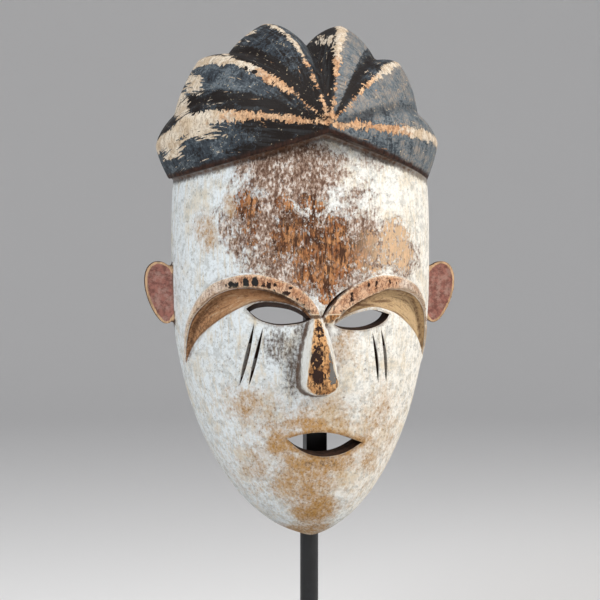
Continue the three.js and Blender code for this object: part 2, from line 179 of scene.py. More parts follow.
def solid(name: str, points: Array, faces: Sequence[Sequence[int]]) -> bpy.types.Object:
    """A closed body from points and faces.

    Args:
        name: The object's name.
        points: Points in the mask's own frame, in millimetres.
        faces: The corners of each face. Faces that collapse when equal points are merged are dropped.

    Returns:
        The object, linked to the scene, with its faces turned outwards.
    """
    mesh = bpy.data.meshes.new(name)
    mesh.from_pydata(to_frame(points).tolist(), [], [list(face) for face in faces])
    work = bmesh.new()
    work.from_mesh(mesh)
    bmesh.ops.remove_doubles(work, verts=work.verts, dist=SAME_PLACE)
    bmesh.ops.recalc_face_normals(work, faces=work.faces)
    work.to_mesh(mesh)
    work.free()
    return linked(name, mesh)


def loft(name: str, loops: Array) -> bpy.types.Object:
    """A closed body that joins equal loops of points, capped flat at each end that isn't a line or a point.

    Args:
        name: The object's name.
        loops: An array of loops, each with the same number of points.

    Returns:
        The object, linked to the scene.
    """
    count, size, _ = loops.shape
    faces = []
    for i in range(count - 1):
        for j in range(size):
            here = i * size + j
            beside = i * size + (j + 1) % size
            faces.append((here, beside, beside + size, here + size))
    for first, loop in ((0, loops[0]), ((count - 1) * size, loops[-1])):
        area = np.linalg.norm(np.cross(loop, np.roll(loop, -1, axis=0)).sum(axis=0)) / 2
        if area > SMALL_AREA:
            faces.extend((first, first + j + 1, first + j) for j in range(1, size - 1))
    return solid(name, loops.reshape(-1, 3), faces)


def forward_prism(name: str, outline: Array, near: float, far: float) -> bpy.types.Object:
    """An outline of [x, height] points pushed forwards between two depths in front of the back plane."""
    ends = [np.column_stack([outline[:, 0], np.full(len(outline), -y), outline[:, 1]]) for y in (near, far)]
    return loft(name, np.array(ends))


def baked(body: bpy.types.Object) -> bpy.types.Object:
    """Turns an object's modifiers into its mesh."""
    evaluated = body.evaluated_get(bpy.context.evaluated_depsgraph_get())
    mesh = bpy.data.meshes.new_from_object(evaluated)
    body.modifiers.clear()
    body.data = mesh
    return body


def combine(body: bpy.types.Object, tools: Sequence[bpy.types.Object], how: Join) -> bpy.types.Object:
    """Joins tools to a body, cuts them out of it or keeps what they share.

    Args:
        body: The body that changes.
        tools: The other bodies. They are deleted afterwards.
        how: What is done with them.

    Returns:
        The body.
    """
    for tool in tools:
        modifier = body.modifiers.new(tool.name, "BOOLEAN")
        modifier.operation = how.value
        modifier.solver = "MANIFOLD"
        modifier.object = tool
    baked(body)
    for tool in tools:
        bpy.data.objects.remove(tool)
    return body


class Value:
    """A node's output. A sum or a product with it adds a node to its graph."""

    def __init__(self, graph: "Graph", socket: bpy.types.NodeSocket) -> None:
        """Keeps the output with its graph."""
        self.graph = graph
        self.socket = socket

    def __add__(self, other: Any) -> "Value":
        """A sum."""
        return self.graph.math("ADD", self, other)

    def __sub__(self, other: Any) -> "Value":
        """A difference."""
        return self.graph.math("SUBTRACT", self, other)

    def __rsub__(self, other: float) -> "Value":
        """A number less the value."""
        return self.graph.math("SUBTRACT", other, self)

    def __mul__(self, other: Any) -> "Value":
        """A product."""
        return self.graph.math("MULTIPLY", self, other)

    def __truediv__(self, other: Any) -> "Value":
        """A quotient."""
        return self.graph.math("DIVIDE", self, other)

    def __rtruediv__(self, other: float) -> "Value":
        """A number divided by the value."""
        return self.graph.math("DIVIDE", other, self)


class Graph:
    """A short way to write a node tree: each method adds one node and returns its output."""

    def __init__(self, tree: bpy.types.NodeTree) -> None:
        """Starts an empty tree."""
        self.tree = tree
        tree.nodes.clear()

    def node(self, kind: str, inputs: dict[Any, Any] | None = None, **settings: Any) -> bpy.types.Node:
        """Adds a node.

        Args:
            kind: The node's type.
            inputs: Numbers, values or sockets by the input's name or index.
            **settings: The node's properties.

        Returns:
            The node.
        """
        made = self.tree.nodes.new(kind)
        for name, value in settings.items():
            setattr(made, name, value)
        for key, value in (inputs or {}).items():
            if isinstance(value, Value):
                self.tree.links.new(value.socket, made.inputs[key])
            else:
                made.inputs[key].default_value = value
        return made

    def value(self, kind: str, inputs: dict[Any, Any] | None = None, output: int | str = 0,
              **settings: Any) -> Value:
        """Adds a node and returns one of its outputs."""
        return Value(self, self.node(kind, inputs, **settings).outputs[output])

    def given(self) -> dict[str, Value]:
        """The tree's own inputs by their names."""
        return {socket.name: Value(self, socket) for socket in self.node("NodeGroupInput").outputs}

    def stored(self, name: str) -> Value:
        """A number that the geometry carries as an attribute."""
        return self.value("GeometryNodeInputNamedAttribute", {"Name": name}, data_type="FLOAT")

    def math(self, operation: str, *values: Any) -> Value:
        """An operation on numbers."""
        return self.value("ShaderNodeMath", dict(enumerate(values)), operation=operation)

    def vector(self, operation: str, *values: Any) -> Value:
        """An operation on vectors that gives a vector."""
        return self.value("ShaderNodeVectorMath", dict(enumerate(values)), operation=operation)

    def combine(self, x: Any, y: Any, z: Any) -> Value:
        """A vector from three numbers."""
        return self.value("ShaderNodeCombineXYZ", {0: x, 1: y, 2: z})

    def ramp(self, value: Any, low: float, high: float, start: float = 0.0, end: float = 1.0) -> Value:
        """A soft passage from start, where the value is low, to end, where it is high."""
        return self.value(
            "ShaderNodeMapRange",
            {"Value": value, "From Min": low, "From Max": high, "To Min": start, "To Max": end},
            interpolation_type="SMOOTHSTEP",
        )

    def hand_out(self, name: str, geometry: Value, material: Value) -> None:
        """Makes a geometry the tree's output, as real mesh in the material."""
        real = self.value("GeometryNodeRealizeInstances", {"Geometry": geometry})
        done = self.value("GeometryNodeSetMaterial", {"Geometry": real, "Material": material})
        self.node("NodeGroupOutput", {name: done})


def geometry_tree(name: str, inputs: dict[str, Sequence[str]], output: str) -> bpy.types.NodeTree:
    """An empty tree of geometry nodes.

    Args:
        name: The tree's name.
        inputs: The names of its inputs by their kinds.
        output: The name of the geometry that it gives.

    Returns:
        The tree.
    """
    tree = bpy.data.node_groups.new(name, "GeometryNodeTree")
    for kind, names in inputs.items():
        for title in names:
            tree.interface.new_socket(title, in_out="INPUT", socket_type=f"NodeSocket{kind}")
    tree.interface.new_socket(output, in_out="OUTPUT", socket_type="NodeSocketGeometry")
    return tree


@dataclass(frozen=True)
class HeadForm:
    """The egg of the head, cut flat at the back."""

    half_width: float = 88.0
    widest_height: float = 170.0
    top: float = 308.0
    face_depth: float = 84.0
    chin_depth: float = 24.0
    deepest_height: float = 205.0
    crown_fall: float = 18.0
    crown_fall_run: float = 100.0
    chin_drift: float = 3.7
    wall: float = 11.0
    jaw_roundness: float = 1.87
    profile_roundness: float = 2.3
    crown_side_roundness: float = 5.0
    crown_front_roundness: float = 8.0
    section_roundness: float = 2.3
    past_back: float = 5.0
    front_starts: float = 0.12
    front_full: float = 0.6
    rows: int = 120
    columns: int = 130
    halvings: int = 18

    def half_width_at(self, z: Array, inset: Array | float) -> Array:
        """Half the head's width at a height, or less by an inset."""
        part = (self.widest_height - z) / (self.widest_height - inset)
        jaw = falling(part, self.jaw_roundness, self.jaw_roundness)
        crown = falling(self.crown_part(z, inset), self.crown_side_roundness, 2.0)
        return (self.half_width - inset) * np.where(z < self.widest_height, jaw, crown)

    def depth_at(self, z: Array, inset: Array | float) -> Array:
        """How far the face stands in front of the back plane at a height, or less by an inset."""
        depth = self.face_depth - inset
        chin = self.chin_depth - inset
        part = (self.deepest_height - z) / (self.deepest_height - inset)
        below = chin + (depth - chin) * falling(part, self.profile_roundness, 2.0)
        slope = depth - self.crown_fall * ((z - self.deepest_height) / self.crown_fall_run) ** 2
        above = slope * falling(self.crown_part(z, inset), self.crown_front_roundness, 2.0)
        return np.where(z < self.deepest_height, below, above)

    def crown_part(self, z: Array, inset: Array | float) -> Array:
        """How far a height lies from the widest place, 0, to the crown, 1."""
        return (z - self.widest_height) / (self.top - inset - self.widest_height)

    def middle_at(self, z: Array) -> Array:
        """The x of the head's middle at a height: the chin drifts to one side."""
        return self.chin_drift * np.maximum(0.0, 1.0 - z / self.widest_height) ** 2

    def points(self, z: Array, angle: Array, inset: Array | float) -> Array:
        """Points of the form.

        Args:
            z: Heights.
            angle: Angles round the section, 0 at the right back edge and pi at the left one.
            inset: How far below the face the points lie.

        Returns:
            An array whose last axis holds x, y and z.
        """
        power = 2.0 / self.section_roundness
        across = np.sign(np.cos(angle)) * np.abs(np.cos(angle)) ** power
        forward = np.abs(np.sin(angle)) ** power
        x = self.middle_at(z) + self.half_width_at(z, inset) * across
        y = -self.depth_at(z, inset) * forward
        return np.stack(np.broadcast_arrays(x, y, z), axis=-1)

    def on_face(self, x: Array, z: Array, inset: Array | float) -> Array:
        """The place on the head, or an inset below it, behind a point of the front view."""
        part = (x - self.middle_at(z)) / self.half_width_at(z, 0.0)
        across = np.sign(part) * np.minimum(1.0, np.abs(part)) ** (self.section_roundness / 2)
        return self.points(z, np.arccos(across), inset)

    def solid(self, name: str, inset: float, past_back: float = 0.0,
              side_inset: float | None = None) -> bpy.types.Object:
        """The form as a body.

        Args:
            name: The object's name.
            inset: Positive for the hollow, negative for a raised skin.
            past_back: How far the body reaches behind the back plane.
            side_inset: The inset at the head's sides, where it differs.

        Returns:
            The object.
        """
        part = (1.0 - np.cos(np.pi * np.arange(self.rows + 1)[:, None] / self.rows)) / 2
        angles = np.pi * np.arange(self.columns + 1) / self.columns
        loops = self.points(inset + (self.top - 2 * inset) * part, angles[None, :], inset)
        if side_inset is not None:
            sides = self.points(side_inset + (self.top - 2 * side_inset) * part, angles[None, :], side_inset)
            front = smooth_step(self.front_starts, self.front_full, np.sin(angles))[None, :, None]
            loops = sides + (loops - sides) * front
        if past_back:
            behind = loops[:, [0, -1]] * [1.0, 0.0, 1.0] + [0.0, past_back, 0.0]
            loops = np.concatenate([behind[:, :1], loops, behind[:, 1:]], axis=1)
        return loft(name, loops)

    def depth_below(self, points: Array) -> Array:
        """How far points lie below the face, by halving the inset that reaches them.

        Args:
            points: Points in the mask's frame.

        Returns:
            The inset of each point: 0 on the face, the wall's thickness on the hollow, less than 0 outside.
        """
        x, y, z = points.T
        low = np.full(len(points), -2.0 * self.wall)
        high = np.full(len(points), 2.0 * self.wall)
        for _ in range(self.halvings):
            inset = (low + high) / 2
            across = np.abs(x - self.middle_at(z)) / np.maximum(self.half_width_at(z, inset), TINY)
            forward = np.abs(y) / np.maximum(self.depth_at(z, inset), TINY)
            inside = across**self.section_roundness + forward**self.section_roundness < 1.0
            low = np.where(inside, inset, low)
            high = np.where(inside, high, inset)
        return (low + high) / 2


@dataclass(frozen=True)
class Brow:
    """A raised brow band over a scooped eye socket, as [x, height] points from the nose outwards."""

    band_top: tuple[Point, ...]
    band_low: tuple[Point, ...]
    cheek: tuple[Point, ...]
    rise: float = 2.6
    side_rise: float = 0.2
    depth: float = 6.5
    end_depth: float = 1.5
    scoop: float = 3.0
    fullness: float = 0.6
    trim: float = 0.5
    clear: float = 12.0
    reach: float = 130.0
    steps: int = 60
    scoop_steps: int = 8

    def between(self, upper: tuple[Point, ...], lower: tuple[Point, ...]) -> Array:
        """The front view of what lies between two of the brow's lines."""
        return np.vstack([smooth_line(upper, self.steps), smooth_line(lower, self.steps)[::-1]])

    def band_outline(self) -> Array:
        """The front view of the raised band."""
        return self.between(self.band_top, self.band_low)

    def socket_outline(self) -> Array:
        """The front view of the scooped socket."""
        return self.between(self.band_low, self.cheek)

    def band(self, head: HeadForm) -> bpy.types.Object:
        """The band: its outline kept out of a skin over the head, which thins out at the head's sides."""
        skin = head.solid("skin", -self.rise, side_inset=-self.side_rise)
        prism = forward_prism("band", self.band_outline(), 0.0, self.reach)
        return combine(prism, [skin], Join.KEEP)

    def socket(self, head: HeadForm) -> bpy.types.Object:
        """The body that is cut out for the socket: a hollow arc from the band down to the cheek."""
        top = smooth_line(self.band_low, self.steps) + [0.0, self.trim]
        low = smooth_line(self.cheek, self.steps)
        along = np.linspace(0.0, 1.0, self.steps + 1)[:, None]
        swell = np.sin(np.pi * along) ** self.fullness
        down = np.linspace(0.0, 1.0, self.scoop_steps + 1)[None, :]
        depth = (self.end_depth + (self.depth - self.end_depth) * swell) * (1.0 - down)
        depth = depth + self.scoop * swell * np.sin(np.pi * down)
        x = top[:, :1] * (1.0 - down) + low[:, :1] * down
        z = top[:, 1:] * (1.0 - down) + low[:, 1:] * down
        floor = head.on_face(x, z, depth)
        above = head.on_face(top[:, :1], top[:, 1:], -self.clear)
        below = head.on_face(low[:, :1], low[:, 1:], -self.clear)
        return loft("socket", np.concatenate([above, floor, below], axis=1))


LEFT_BROW = Brow(
    band_top=((-0.8, 147.8), (-2, 154.8), (-8, 162.8), (-15.4, 168.9), (-27.3, 174), (-43, 177.5),
              (-57, 175.6), (-69.2, 169.8), (-77.5, 157.5), (-82, 140), (-81, 114.5)),
    band_low=((-5.3, 148.5), (-9.9, 154.9), (-18.6, 160.4), (-29, 165.2), (-42.5, 168.2), (-55, 167.6),
              (-65, 163.6), (-72.2, 157), (-78.4, 147), (-80.8, 133), (-80.7, 118)),
    cheek=((-7, 148), (-14.6, 155.6), (-26.2, 159.2), (-38.5, 159.8), (-47.6, 157), (-60, 149.5),
           (-70, 140), (-76.5, 128), (-80, 116.5)),
)
RIGHT_BROW = Brow(
    band_top=((0.4, 146.4), (11, 161.4), (22, 169.5), (36, 175.5), (47, 176.4), (60, 173.8), (71, 167),
              (79, 153), (82.5, 134), (81.3, 117)),
    band_low=((7.5, 145.6), (17.6, 154.1), (28.2, 160.4), (43.7, 166.4), (53.3, 166.9), (62, 165.4),
              (70.1, 161), (77.2, 152.5), (80.4, 138), (81.2, 121.5)),
    cheek=((9.5, 145.6), (18, 151), (28, 154.6), (38, 155.6), (49.6, 152.4), (57, 148.1), (66, 140.7),
           (73.4, 132.4), (80.8, 120.5)),
)


@dataclass(frozen=True)
class Opening:
    """A cut right through: an upper and a lower edge that meet in two corners, narrower behind the face."""

    upper: tuple[Point, ...]
    lower: tuple[Point, ...]
    narrowing: Point
    shift: Point
    reach: float = 130.0
    steps: int = 30

    def outline(self) -> Array:
        """The cut's corners on the face as [x, height] points."""
        return np.vstack([smooth_line(self.upper, self.steps)[1:], smooth_line(self.lower, self.steps)[1:]])

    def solid(self, head: HeadForm) -> bpy.types.Object:
        """The body that is cut out."""
        edge = self.outline()
        middle = (np.array(self.upper[0]) + np.array(self.lower[0])) / 2
        behind = middle + self.shift + (edge - middle) * self.narrowing
        on_face = head.on_face(edge[:, 0], edge[:, 1], 0.0)
        on_hollow = head.on_face(behind[:, 0], behind[:, 1], head.wall)
        before = on_face * [1.0, 0.0, 1.0] - [0.0, self.reach, 0.0]
        return loft("opening", np.array([before, on_face, on_hollow, on_hollow * [1.0, 0.0, 1.0]]))


OPENINGS = (
    Opening(
        upper=((-47.5, 155.2), (-42.5, 158.6), (-33.5, 159.9), (-20.2, 157.7), (-10.8, 152.8), (-6.5, 148.4)),
        lower=((-6.5, 148.4), (-12.2, 146), (-25.7, 144.4), (-35.8, 146.4), (-42, 149.6), (-47.5, 155.2)),
        narrowing=(1.0, 0.72),
        shift=(-2.0, -1.6),
    ),
    Opening(
        upper=((9.2, 144.6), (16, 149), (24, 152.2), (34.2, 154.1), (41, 153), (47.6, 150.8)),
        lower=((47.6, 150.8), (45.5, 147.6), (40.7, 144.2), (33, 141.6), (23.7, 140.8), (14, 142),
               (9.2, 144.6)),
        narrowing=(1.06, 0.9),
        shift=(2.9, 0.8),
    ),
    Opening(
        upper=((-19.8, 69.9), (-10, 72.9), (1.9, 74.1), (15, 72.2), (31.1, 66.4)),
        lower=((31.1, 66.4), (23.4, 61.7), (16, 58.8), (5.7, 57.4), (-4, 59), (-12, 63), (-19.8, 69.9)),
        narrowing=(1.09, 0.84),
        shift=(-1.75, 0.9),
    ),
)


@dataclass(frozen=True)
class Groove:
    """A V-shaped groove along a line of the front view, pointed at both ends."""

    line: tuple[Point, ...]
    width: float
    depth: float
    widest: float = 0.55
    fullness: float = 0.45
    clear: float = 1.2
    steps: int = 36

    def stations(self) -> tuple[Array, Array, Array]:
        """The line's points, the directions across it and how full the groove is at each."""
        points = smooth_line(self.line, self.steps)
        along = np.gradient(points, axis=0)
        along /= np.linalg.norm(along, axis=1)[:, None]
        part = np.linspace(0.0, 1.0, self.steps + 1) ** (math.log(0.5) / math.log(self.widest))
        return points, np.column_stack([-along[:, 1], along[:, 0]]), np.sin(np.pi * part) ** self.fullness

    def outline(self) -> Array:
        """The front view of the groove."""
        points, across, full = self.stations()
        half = (self.width / 2 * full)[:, None]
        return np.vstack([points + across * half, (points - across * half)[::-1]])

    def solid(self, head: HeadForm) -> bpy.types.Object:
        """The body that is cut out."""
        points, across, full = self.stations()
        half = (self.width / 2 * full * (1.0 + self.clear / self.depth))[:, None]
        sides = [points - across * half, points + across * half]
        rims = [head.on_face(side[:, 0], side[:, 1], -self.clear) for side in sides]
        floor = head.on_face(points[:, 0], points[:, 1], self.depth * full - self.clear * (1.0 - full))
        return loft("groove", np.stack([rims[0], rims[1], floor], axis=1))


SCARS = (
    Groove(((-42.1, 148), (-46, 127), (-50.7, 104.3)), 2.9, 3.4),
    Groove(((-36.5, 145.2), (-40.6, 126), (-45.1, 104.1)), 2.6, 3.2),
    Groove(((35.2, 141), (38.9, 123), (40.8, 105.4)), 2.7, 3.4),
    Groove(((41.2, 143.8), (45.2, 125), (46.8, 105)), 2.8, 3.4),
)
BROW_GROOVE = Groove(((0.2, 148.2), (5, 156.2), (12.5, 164.2), (22, 171)), 3.0, 2.6, 0.4, 0.7)


@dataclass(frozen=True)
class Nose:
    """A long nose with a flat front that widens downwards, steep sides and a rounded underside."""

    root_height: float = 150.0
    wing_height: float = 107.0
    bottom_height: float = 99.0
    half_width: float = 11.1
    root_half_width: float = 2.1
    reach: float = 17.0
    root_reach: float = 2.6
    flare: float = 2.3
    middle_flare: float = 2.1
    bridge_curve: float = 0.6
    tip_rounding: float = 0.92
    root_x: float = -2.9
    wing_x: float = -1.0
    buried: float = 6.0
    undercut: float = 0.12
    crown: float = 0.1
    rows: int = 48
    row_crowding: float = 1.4
    front_steps: int = 8

    def rows_of(self) -> dict[str, Array]:
        """For each row its height, middle, half width, half width at the face and reach."""
        rise = (np.arange(self.rows + 1) / self.rows) ** self.row_crowding
        z = self.bottom_height + (self.root_height - self.bottom_height) * rise
        up = np.maximum(0.0, (z - self.wing_height) / (self.root_height - self.wing_height))
        under = np.maximum(0.0, (self.wing_height - z) / (self.wing_height - self.bottom_height))
        rounding = np.sqrt(1.0 - self.tip_rounding * under**2)
        half = (self.root_half_width + (self.half_width - self.root_half_width) * (1.0 - up)) * rounding
        bridge = self.root_reach + (self.reach - self.root_reach) * (1.0 - up) ** self.bridge_curve
        return {
            "z": z,
            "x": self.wing_x + (self.root_x - self.wing_x) * up,
            "half": half,
            "foot": half + self.flare + self.middle_flare * np.sin(np.pi * up),
            "reach": bridge * (1.0 - self.undercut * under**2),
        }

    def outline(self) -> Array:
        """The front view of the nose where it meets the face."""
        rows = self.rows_of()
        left = np.column_stack([rows["x"] - rows["foot"], rows["z"]])
        right = np.column_stack([rows["x"] + rows["foot"], rows["z"]])
        return np.vstack([left, right[::-1]])

    def solid(self, head: HeadForm) -> bpy.types.Object:
        """The nose as a body that grows out of the face."""
        z, x, half, foot, reach = self.rows_of().values()
        face = head.on_face(np.zeros_like(z), z, 0.0)[:, 1]
        across = np.linspace(-1.0, 1.0, self.front_steps + 1)
        section_x = [-foot, -foot, *(half * a for a in across), foot, foot]
        front = [face - reach - self.crown * half * (1 - a * a) for a in across]
        section_y = [face + self.buried, face, *front, face, face + self.buried]
        loops = np.stack([np.stack([x + sx, sy, z], axis=-1) for sx, sy in zip(section_x, section_y)], axis=1)
        return loft("nose", loops)


class EdgeLines:
    """Dense points along several edges, for finding the nearest one."""

    def __init__(self, lines: Sequence[Array], fill: int = 4) -> None:
        """Fills in points between those given.

        Args:
            lines: For each edge an array of x, y, z, how far out, and the edge's number.
            fill: How many points stand for each given one.
        """
        dense = []
        for line in lines:
            steps = np.arange((len(line) - 1) * fill + 1) / fill
            filled = np.column_stack([np.interp(steps, np.arange(len(line)), line[:, k]) for k in range(5)])
            stride = np.linalg.norm(np.diff(filled[:, :3], axis=0), axis=1)
            dense.append(np.column_stack([filled, np.append(0.0, np.cumsum(stride))]))
        self.points = np.vstack(dense)
        self.tree = KDTree(len(self.points))
        for i, point in enumerate(self.points):
            self.tree.insert(point[:3], i)
        self.tree.balance()

    def nearest(self, places: Array) -> tuple[Array, Array]:
        """The nearest line point of each place.

        Args:
            places: Points in the mask's frame.

        Returns:
            The rows of the nearest points (x, y, z, out, edge, way along) and their distances.
        """
        found = [self.tree.find(place) for place in places]
        rows = self.points[[index for _, index, _ in found]]
        return rows, np.array([distance for _, _, distance in found])


@dataclass(frozen=True)
class PleatEdge:
    """A crest or a valley: its angle and reach at the outline, and how much nearer to upright it starts."""

    angle: float
    reach: float
    bend: float
    wear: tuple[Point, ...] = ()


@dataclass(frozen=True)
class Headdress:
    """Pleats that fan out from one point above the forehead, from the right border to the left one.

    The wear of a crest is pairs of how far out the place lies and the half width that is rubbed bare there.
    A flank's tones, from one edge to the next, are 0 where it is brown-black and 1 where it is grey: partly
    the paint's own change, partly painted light on the flanks that face the light and painted shade on those
    that face away.
    The inner tone holds near the fan's point, the outer one near the outline.
    """

    x: float = 4.5
    height: float = 274.0
    lip: float = 6.0
    front: float = 92.0
    shoulder: float = 14.0
    roundness: float = 1.8
    back_taper: float = 0.07
    bend_late: float = 4.0
    steps: int = 10
    sections: int = 56
    # Tones by flank: partly the paint's own colour, partly painted light and shade as each flank lay lit or
    # shaded
    outer_paint_and_shade_tones: tuple[float, ...] = (0.95, 1.0, 1.1, 0.25, 1.15, -0.1, 0.5, 0.3, -0.1, 0.6, 0.1, 0.55)
    inner_paint_and_shade_tones: tuple[float, ...] = (0.8, 0.8, 1.0, 0.1, 1.0, -0.2, 0.2, -0.1, -0.2, 0.1, -0.1, -0.1)
    edges: tuple[PleatEdge, ...] = (
        PleatEdge(-19.7, 86.0, 0.0),
        PleatEdge(-6.6, 89.0, 4.0, ((0.0, 1.2), (0.2, 2.9), (0.6, 2.7), (1.0, 3.4))),
        PleatEdge(7.0, 75.0, 8.0),
        PleatEdge(36.0, 76.0, 8.0, ((0.0, 1.2), (0.5, 0.6), (0.75, 2.4), (1.0, 3.2))),
        PleatEdge(46.0, 64.5, 11.0),
        PleatEdge(73.0, 73.0, 7.0, ((0.0, 1.6), (0.4, 1.5), (0.7, 2.8), (1.0, 5.0))),
        PleatEdge(93.0, 55.0, -5.0),
        PleatEdge(113.5, 77.0, 7.0, ((0.0, 1.4), (0.4, 1.4), (0.8, 2.2), (1.0, 2.4))),
        PleatEdge(138.5, 74.5, 11.0),
        PleatEdge(149.0, 88.0, 9.0, ((0.0, 1.0), (0.3, 0.8), (0.55, 3.2), (0.8, 3.0), (1.0, 6.0))),
        PleatEdge(174.5, 92.0, 13.0),
        PleatEdge(187.0, 105.0, 14.0, ((0.0, 1.0), (0.3, 1.9), (0.55, 3.4), (0.8, 6.2), (1.0, 4.6))),
        PleatEdge(196.6, 99.5, 0.0),
    )

    def columns(self) -> list[dict[str, float]]:
        """The edges with points between them: steep out of each valley, then easing over to the crest."""
        last = len(self.edges) - 1
        columns = []
        for i in range(last):
            start, end = self.edges[i], self.edges[i + 1]
            crest_is_next = i % 2 == 0
            for k in range(self.steps):
                part = k / self.steps
                from_valley = part if crest_is_next else 1.0 - part
                ease = (from_valley + math.sin(from_valley * math.pi / 2)) / 2
                valley, crest = (start.reach, end.reach) if crest_is_next else (end.reach, start.reach)
                at_border = (1.0 - part if i == 0 else 0.0) + (part if i == last - 1 else 0.0)
                columns.append({
                    "angle": math.radians(start.angle + (end.angle - start.angle) * part),
                    "reach": (valley + (crest - valley) * ease) * MM,
                    "bend": math.radians(start.bend + (end.bend - start.bend) * part),
                    "lip": self.lip * at_border * MM,
                })
        angle, reach = math.radians(self.edges[last].angle), self.edges[last].reach * MM
        return [*columns, {"angle": angle, "reach": reach, "bend": 0.0, "lip": self.lip * MM}]

    def rim(self) -> bpy.types.Object:
        """A line of points that carries each column's angle, reach, bend and lip as attributes."""
        columns = self.columns()
        mesh = bpy.data.meshes.new("headdress")
        mesh.from_pydata([(i * MM, 0.0, 0.0) for i in range(len(columns))], [], [])
        for name in columns[0]:
            store(mesh, name, [column[name] for column in columns])
        return linked("headdress", mesh)

    def tree(self) -> bpy.types.NodeTree:
        """Geometry nodes that fold a grid into the closed pleated fan.

        Returns:
            The tree. Its geometry input is the rim's points; its sizes are named inputs, in metres.
        """
        tree = geometry_tree("pleated_fan", {
            "Geometry": ("Rim",), "Int": ("Columns", "Sections"), "Vector": ("Heart",),
            "Float": ("Front", "Shoulder", "Roundness", "Back Taper", "Bend Late"), "Material": ("Material",),
        }, "Fan")
        graph = Graph(tree)
        given = graph.given()

        # One more column for the heart on each side of the rim's columns, and a last row for the heart
        columns = given["Columns"] + 2.0
        rows = given["Sections"] + 4.0
        grid = graph.value("GeometryNodeMeshGrid", {"Vertices X": columns, "Vertices Y": rows})
        index = graph.value("GeometryNodeInputIndex")
        column = graph.math("FLOOR", (index + 0.5) / rows) - 1.0
        row = graph.math("MODULO", index, rows)

        def on_rim(name: str) -> Value:
            """The rim's attribute at this column."""
            return graph.value(
                "GeometryNodeSampleIndex",
                {"Geometry": given["Rim"], "Value": graph.stored(name), "Index": column},
                data_type="FLOAT", domain="POINT", clamp=True,
            )

        # The sections: a rounded front that opens to the full outline, then two that draw in towards the back
        turn = row / given["Sections"] * (math.pi / 2)
        turn = graph.math("MAXIMUM", graph.math("MINIMUM", turn, math.pi / 2), 0.0)
        power = 2.0 / given["Roundness"]
        opened = graph.math("POWER", graph.math("SINE", turn), power)
        forward = graph.math("POWER", graph.math("MAXIMUM", graph.math("COSINE", turn), 0.0), power)
        behind = row - given["Sections"]
        back = graph.math("MAXIMUM", graph.math("MINIMUM", behind, 2.0), 0.0) / 2.0
        taper = back * back * given["Back Taper"]
        before_end = graph.math("LESS_THAN", behind, 2.5)
        off_left = graph.math("GREATER_THAN", column, -0.5)
        off_heart = off_left * graph.math("LESS_THAN", column, given["Columns"] - 0.5)
        kept = before_end * off_heart
        out = opened - taper
        swell = (given["Front"] - given["Shoulder"]) * forward
        reach_forward = swell + given["Shoulder"] * (1.0 - back)

        # An edge starts nearer to upright and swings out to its angle late
        angle = on_rim("angle")
        late = 1.0 - graph.math("POWER", out, given["Bend Late"])
        side = graph.math("SIGN", angle - math.pi / 2)
        swing = side * on_rim("bend") * late
        angle = angle - swing
        length = on_rim("reach") * out * kept
        x = length * graph.math("COSINE", angle)
        lip = self.lip * MM
        raised = (lip - on_rim("lip")) * kept
        z = length * graph.math("SINE", angle) + raised
        place = graph.vector("ADD", graph.combine(x, reach_forward * -1.0, z), given["Heart"])
        folded = graph.value("GeometryNodeSetPosition", {"Geometry": grid, "Position": place})
        for name, value in {"column": column, "out": out * kept}.items():
            folded = graph.value(
                "GeometryNodeStoreNamedAttribute",
                {"Geometry": folded, "Name": name, "Value": value},
                data_type="FLOAT", domain="POINT",
            )
        merged = graph.value("GeometryNodeMergeByDistance", {"Geometry": folded, "Distance": SAME_PLACE})
        graph.hand_out("Fan", merged, given["Material"])
        return tree

    def lines(self, fan: bpy.types.Object) -> tuple[EdgeLines, EdgeLines]:
        """The crests and the valleys of the finished fan as dense lines of points.

        Args:
            fan: The fan with its "column" and "out" attributes.

        Returns:
            The crests' lines and the valleys' lines.
        """
        column, out = (numbers(fan.data.attributes[name].data, "value") for name in ("column", "out"))
        places = to_mask(numbers(fan.data.vertices, "co", 3))
        found: tuple[list[Array], list[Array]] = ([], [])
        for i in range(len(self.edges)):
            on_edge = (np.round(column) == i * self.steps) & (out > 0.0)
            line = np.column_stack([places[on_edge], out[on_edge], np.full(on_edge.sum(), i)])
            line = line[np.argsort(line[:, 1])]
            found[(i + 1) % 2].append(line)
        return EdgeLines(found[0]), EdgeLines(found[1])

    def solid(self) -> bpy.types.Object:
        """The pleated fan as a closed body with its columns and sections as attributes."""
        body = self.rim()
        tree = self.tree()
        heart = to_frame(np.array([self.x, 0.0, self.height - self.lip]))
        set_inputs(body, tree, {
            "Columns": len(body.data.vertices), "Sections": self.sections, "Heart": heart,
            "Front": self.front * MM, "Shoulder": self.shoulder * MM, "Roundness": self.roundness,
            "Back Taper": self.back_taper, "Bend Late": self.bend_late,
        })
        return baked(body)


def set_inputs(body: bpy.types.Object, tree: bpy.types.NodeTree, values: dict[str, Any]) -> None:
    """Puts a geometry node tree on an object with its named inputs set.

    Args:
        body: The object that gets the modifier.
        tree: The node tree.
        values: The inputs' values by their names.
    """
    modifier = body.modifiers.new(tree.name, "NODES")
    modifier.node_group = tree
    for item in tree.interface.items_tree:
        if item.item_type == "SOCKET" and item.in_out == "INPUT" and item.name in values:
            value = values[item.name]
            modifier[item.identifier] = list(value) if isinstance(value, (np.ndarray, Vector)) else value


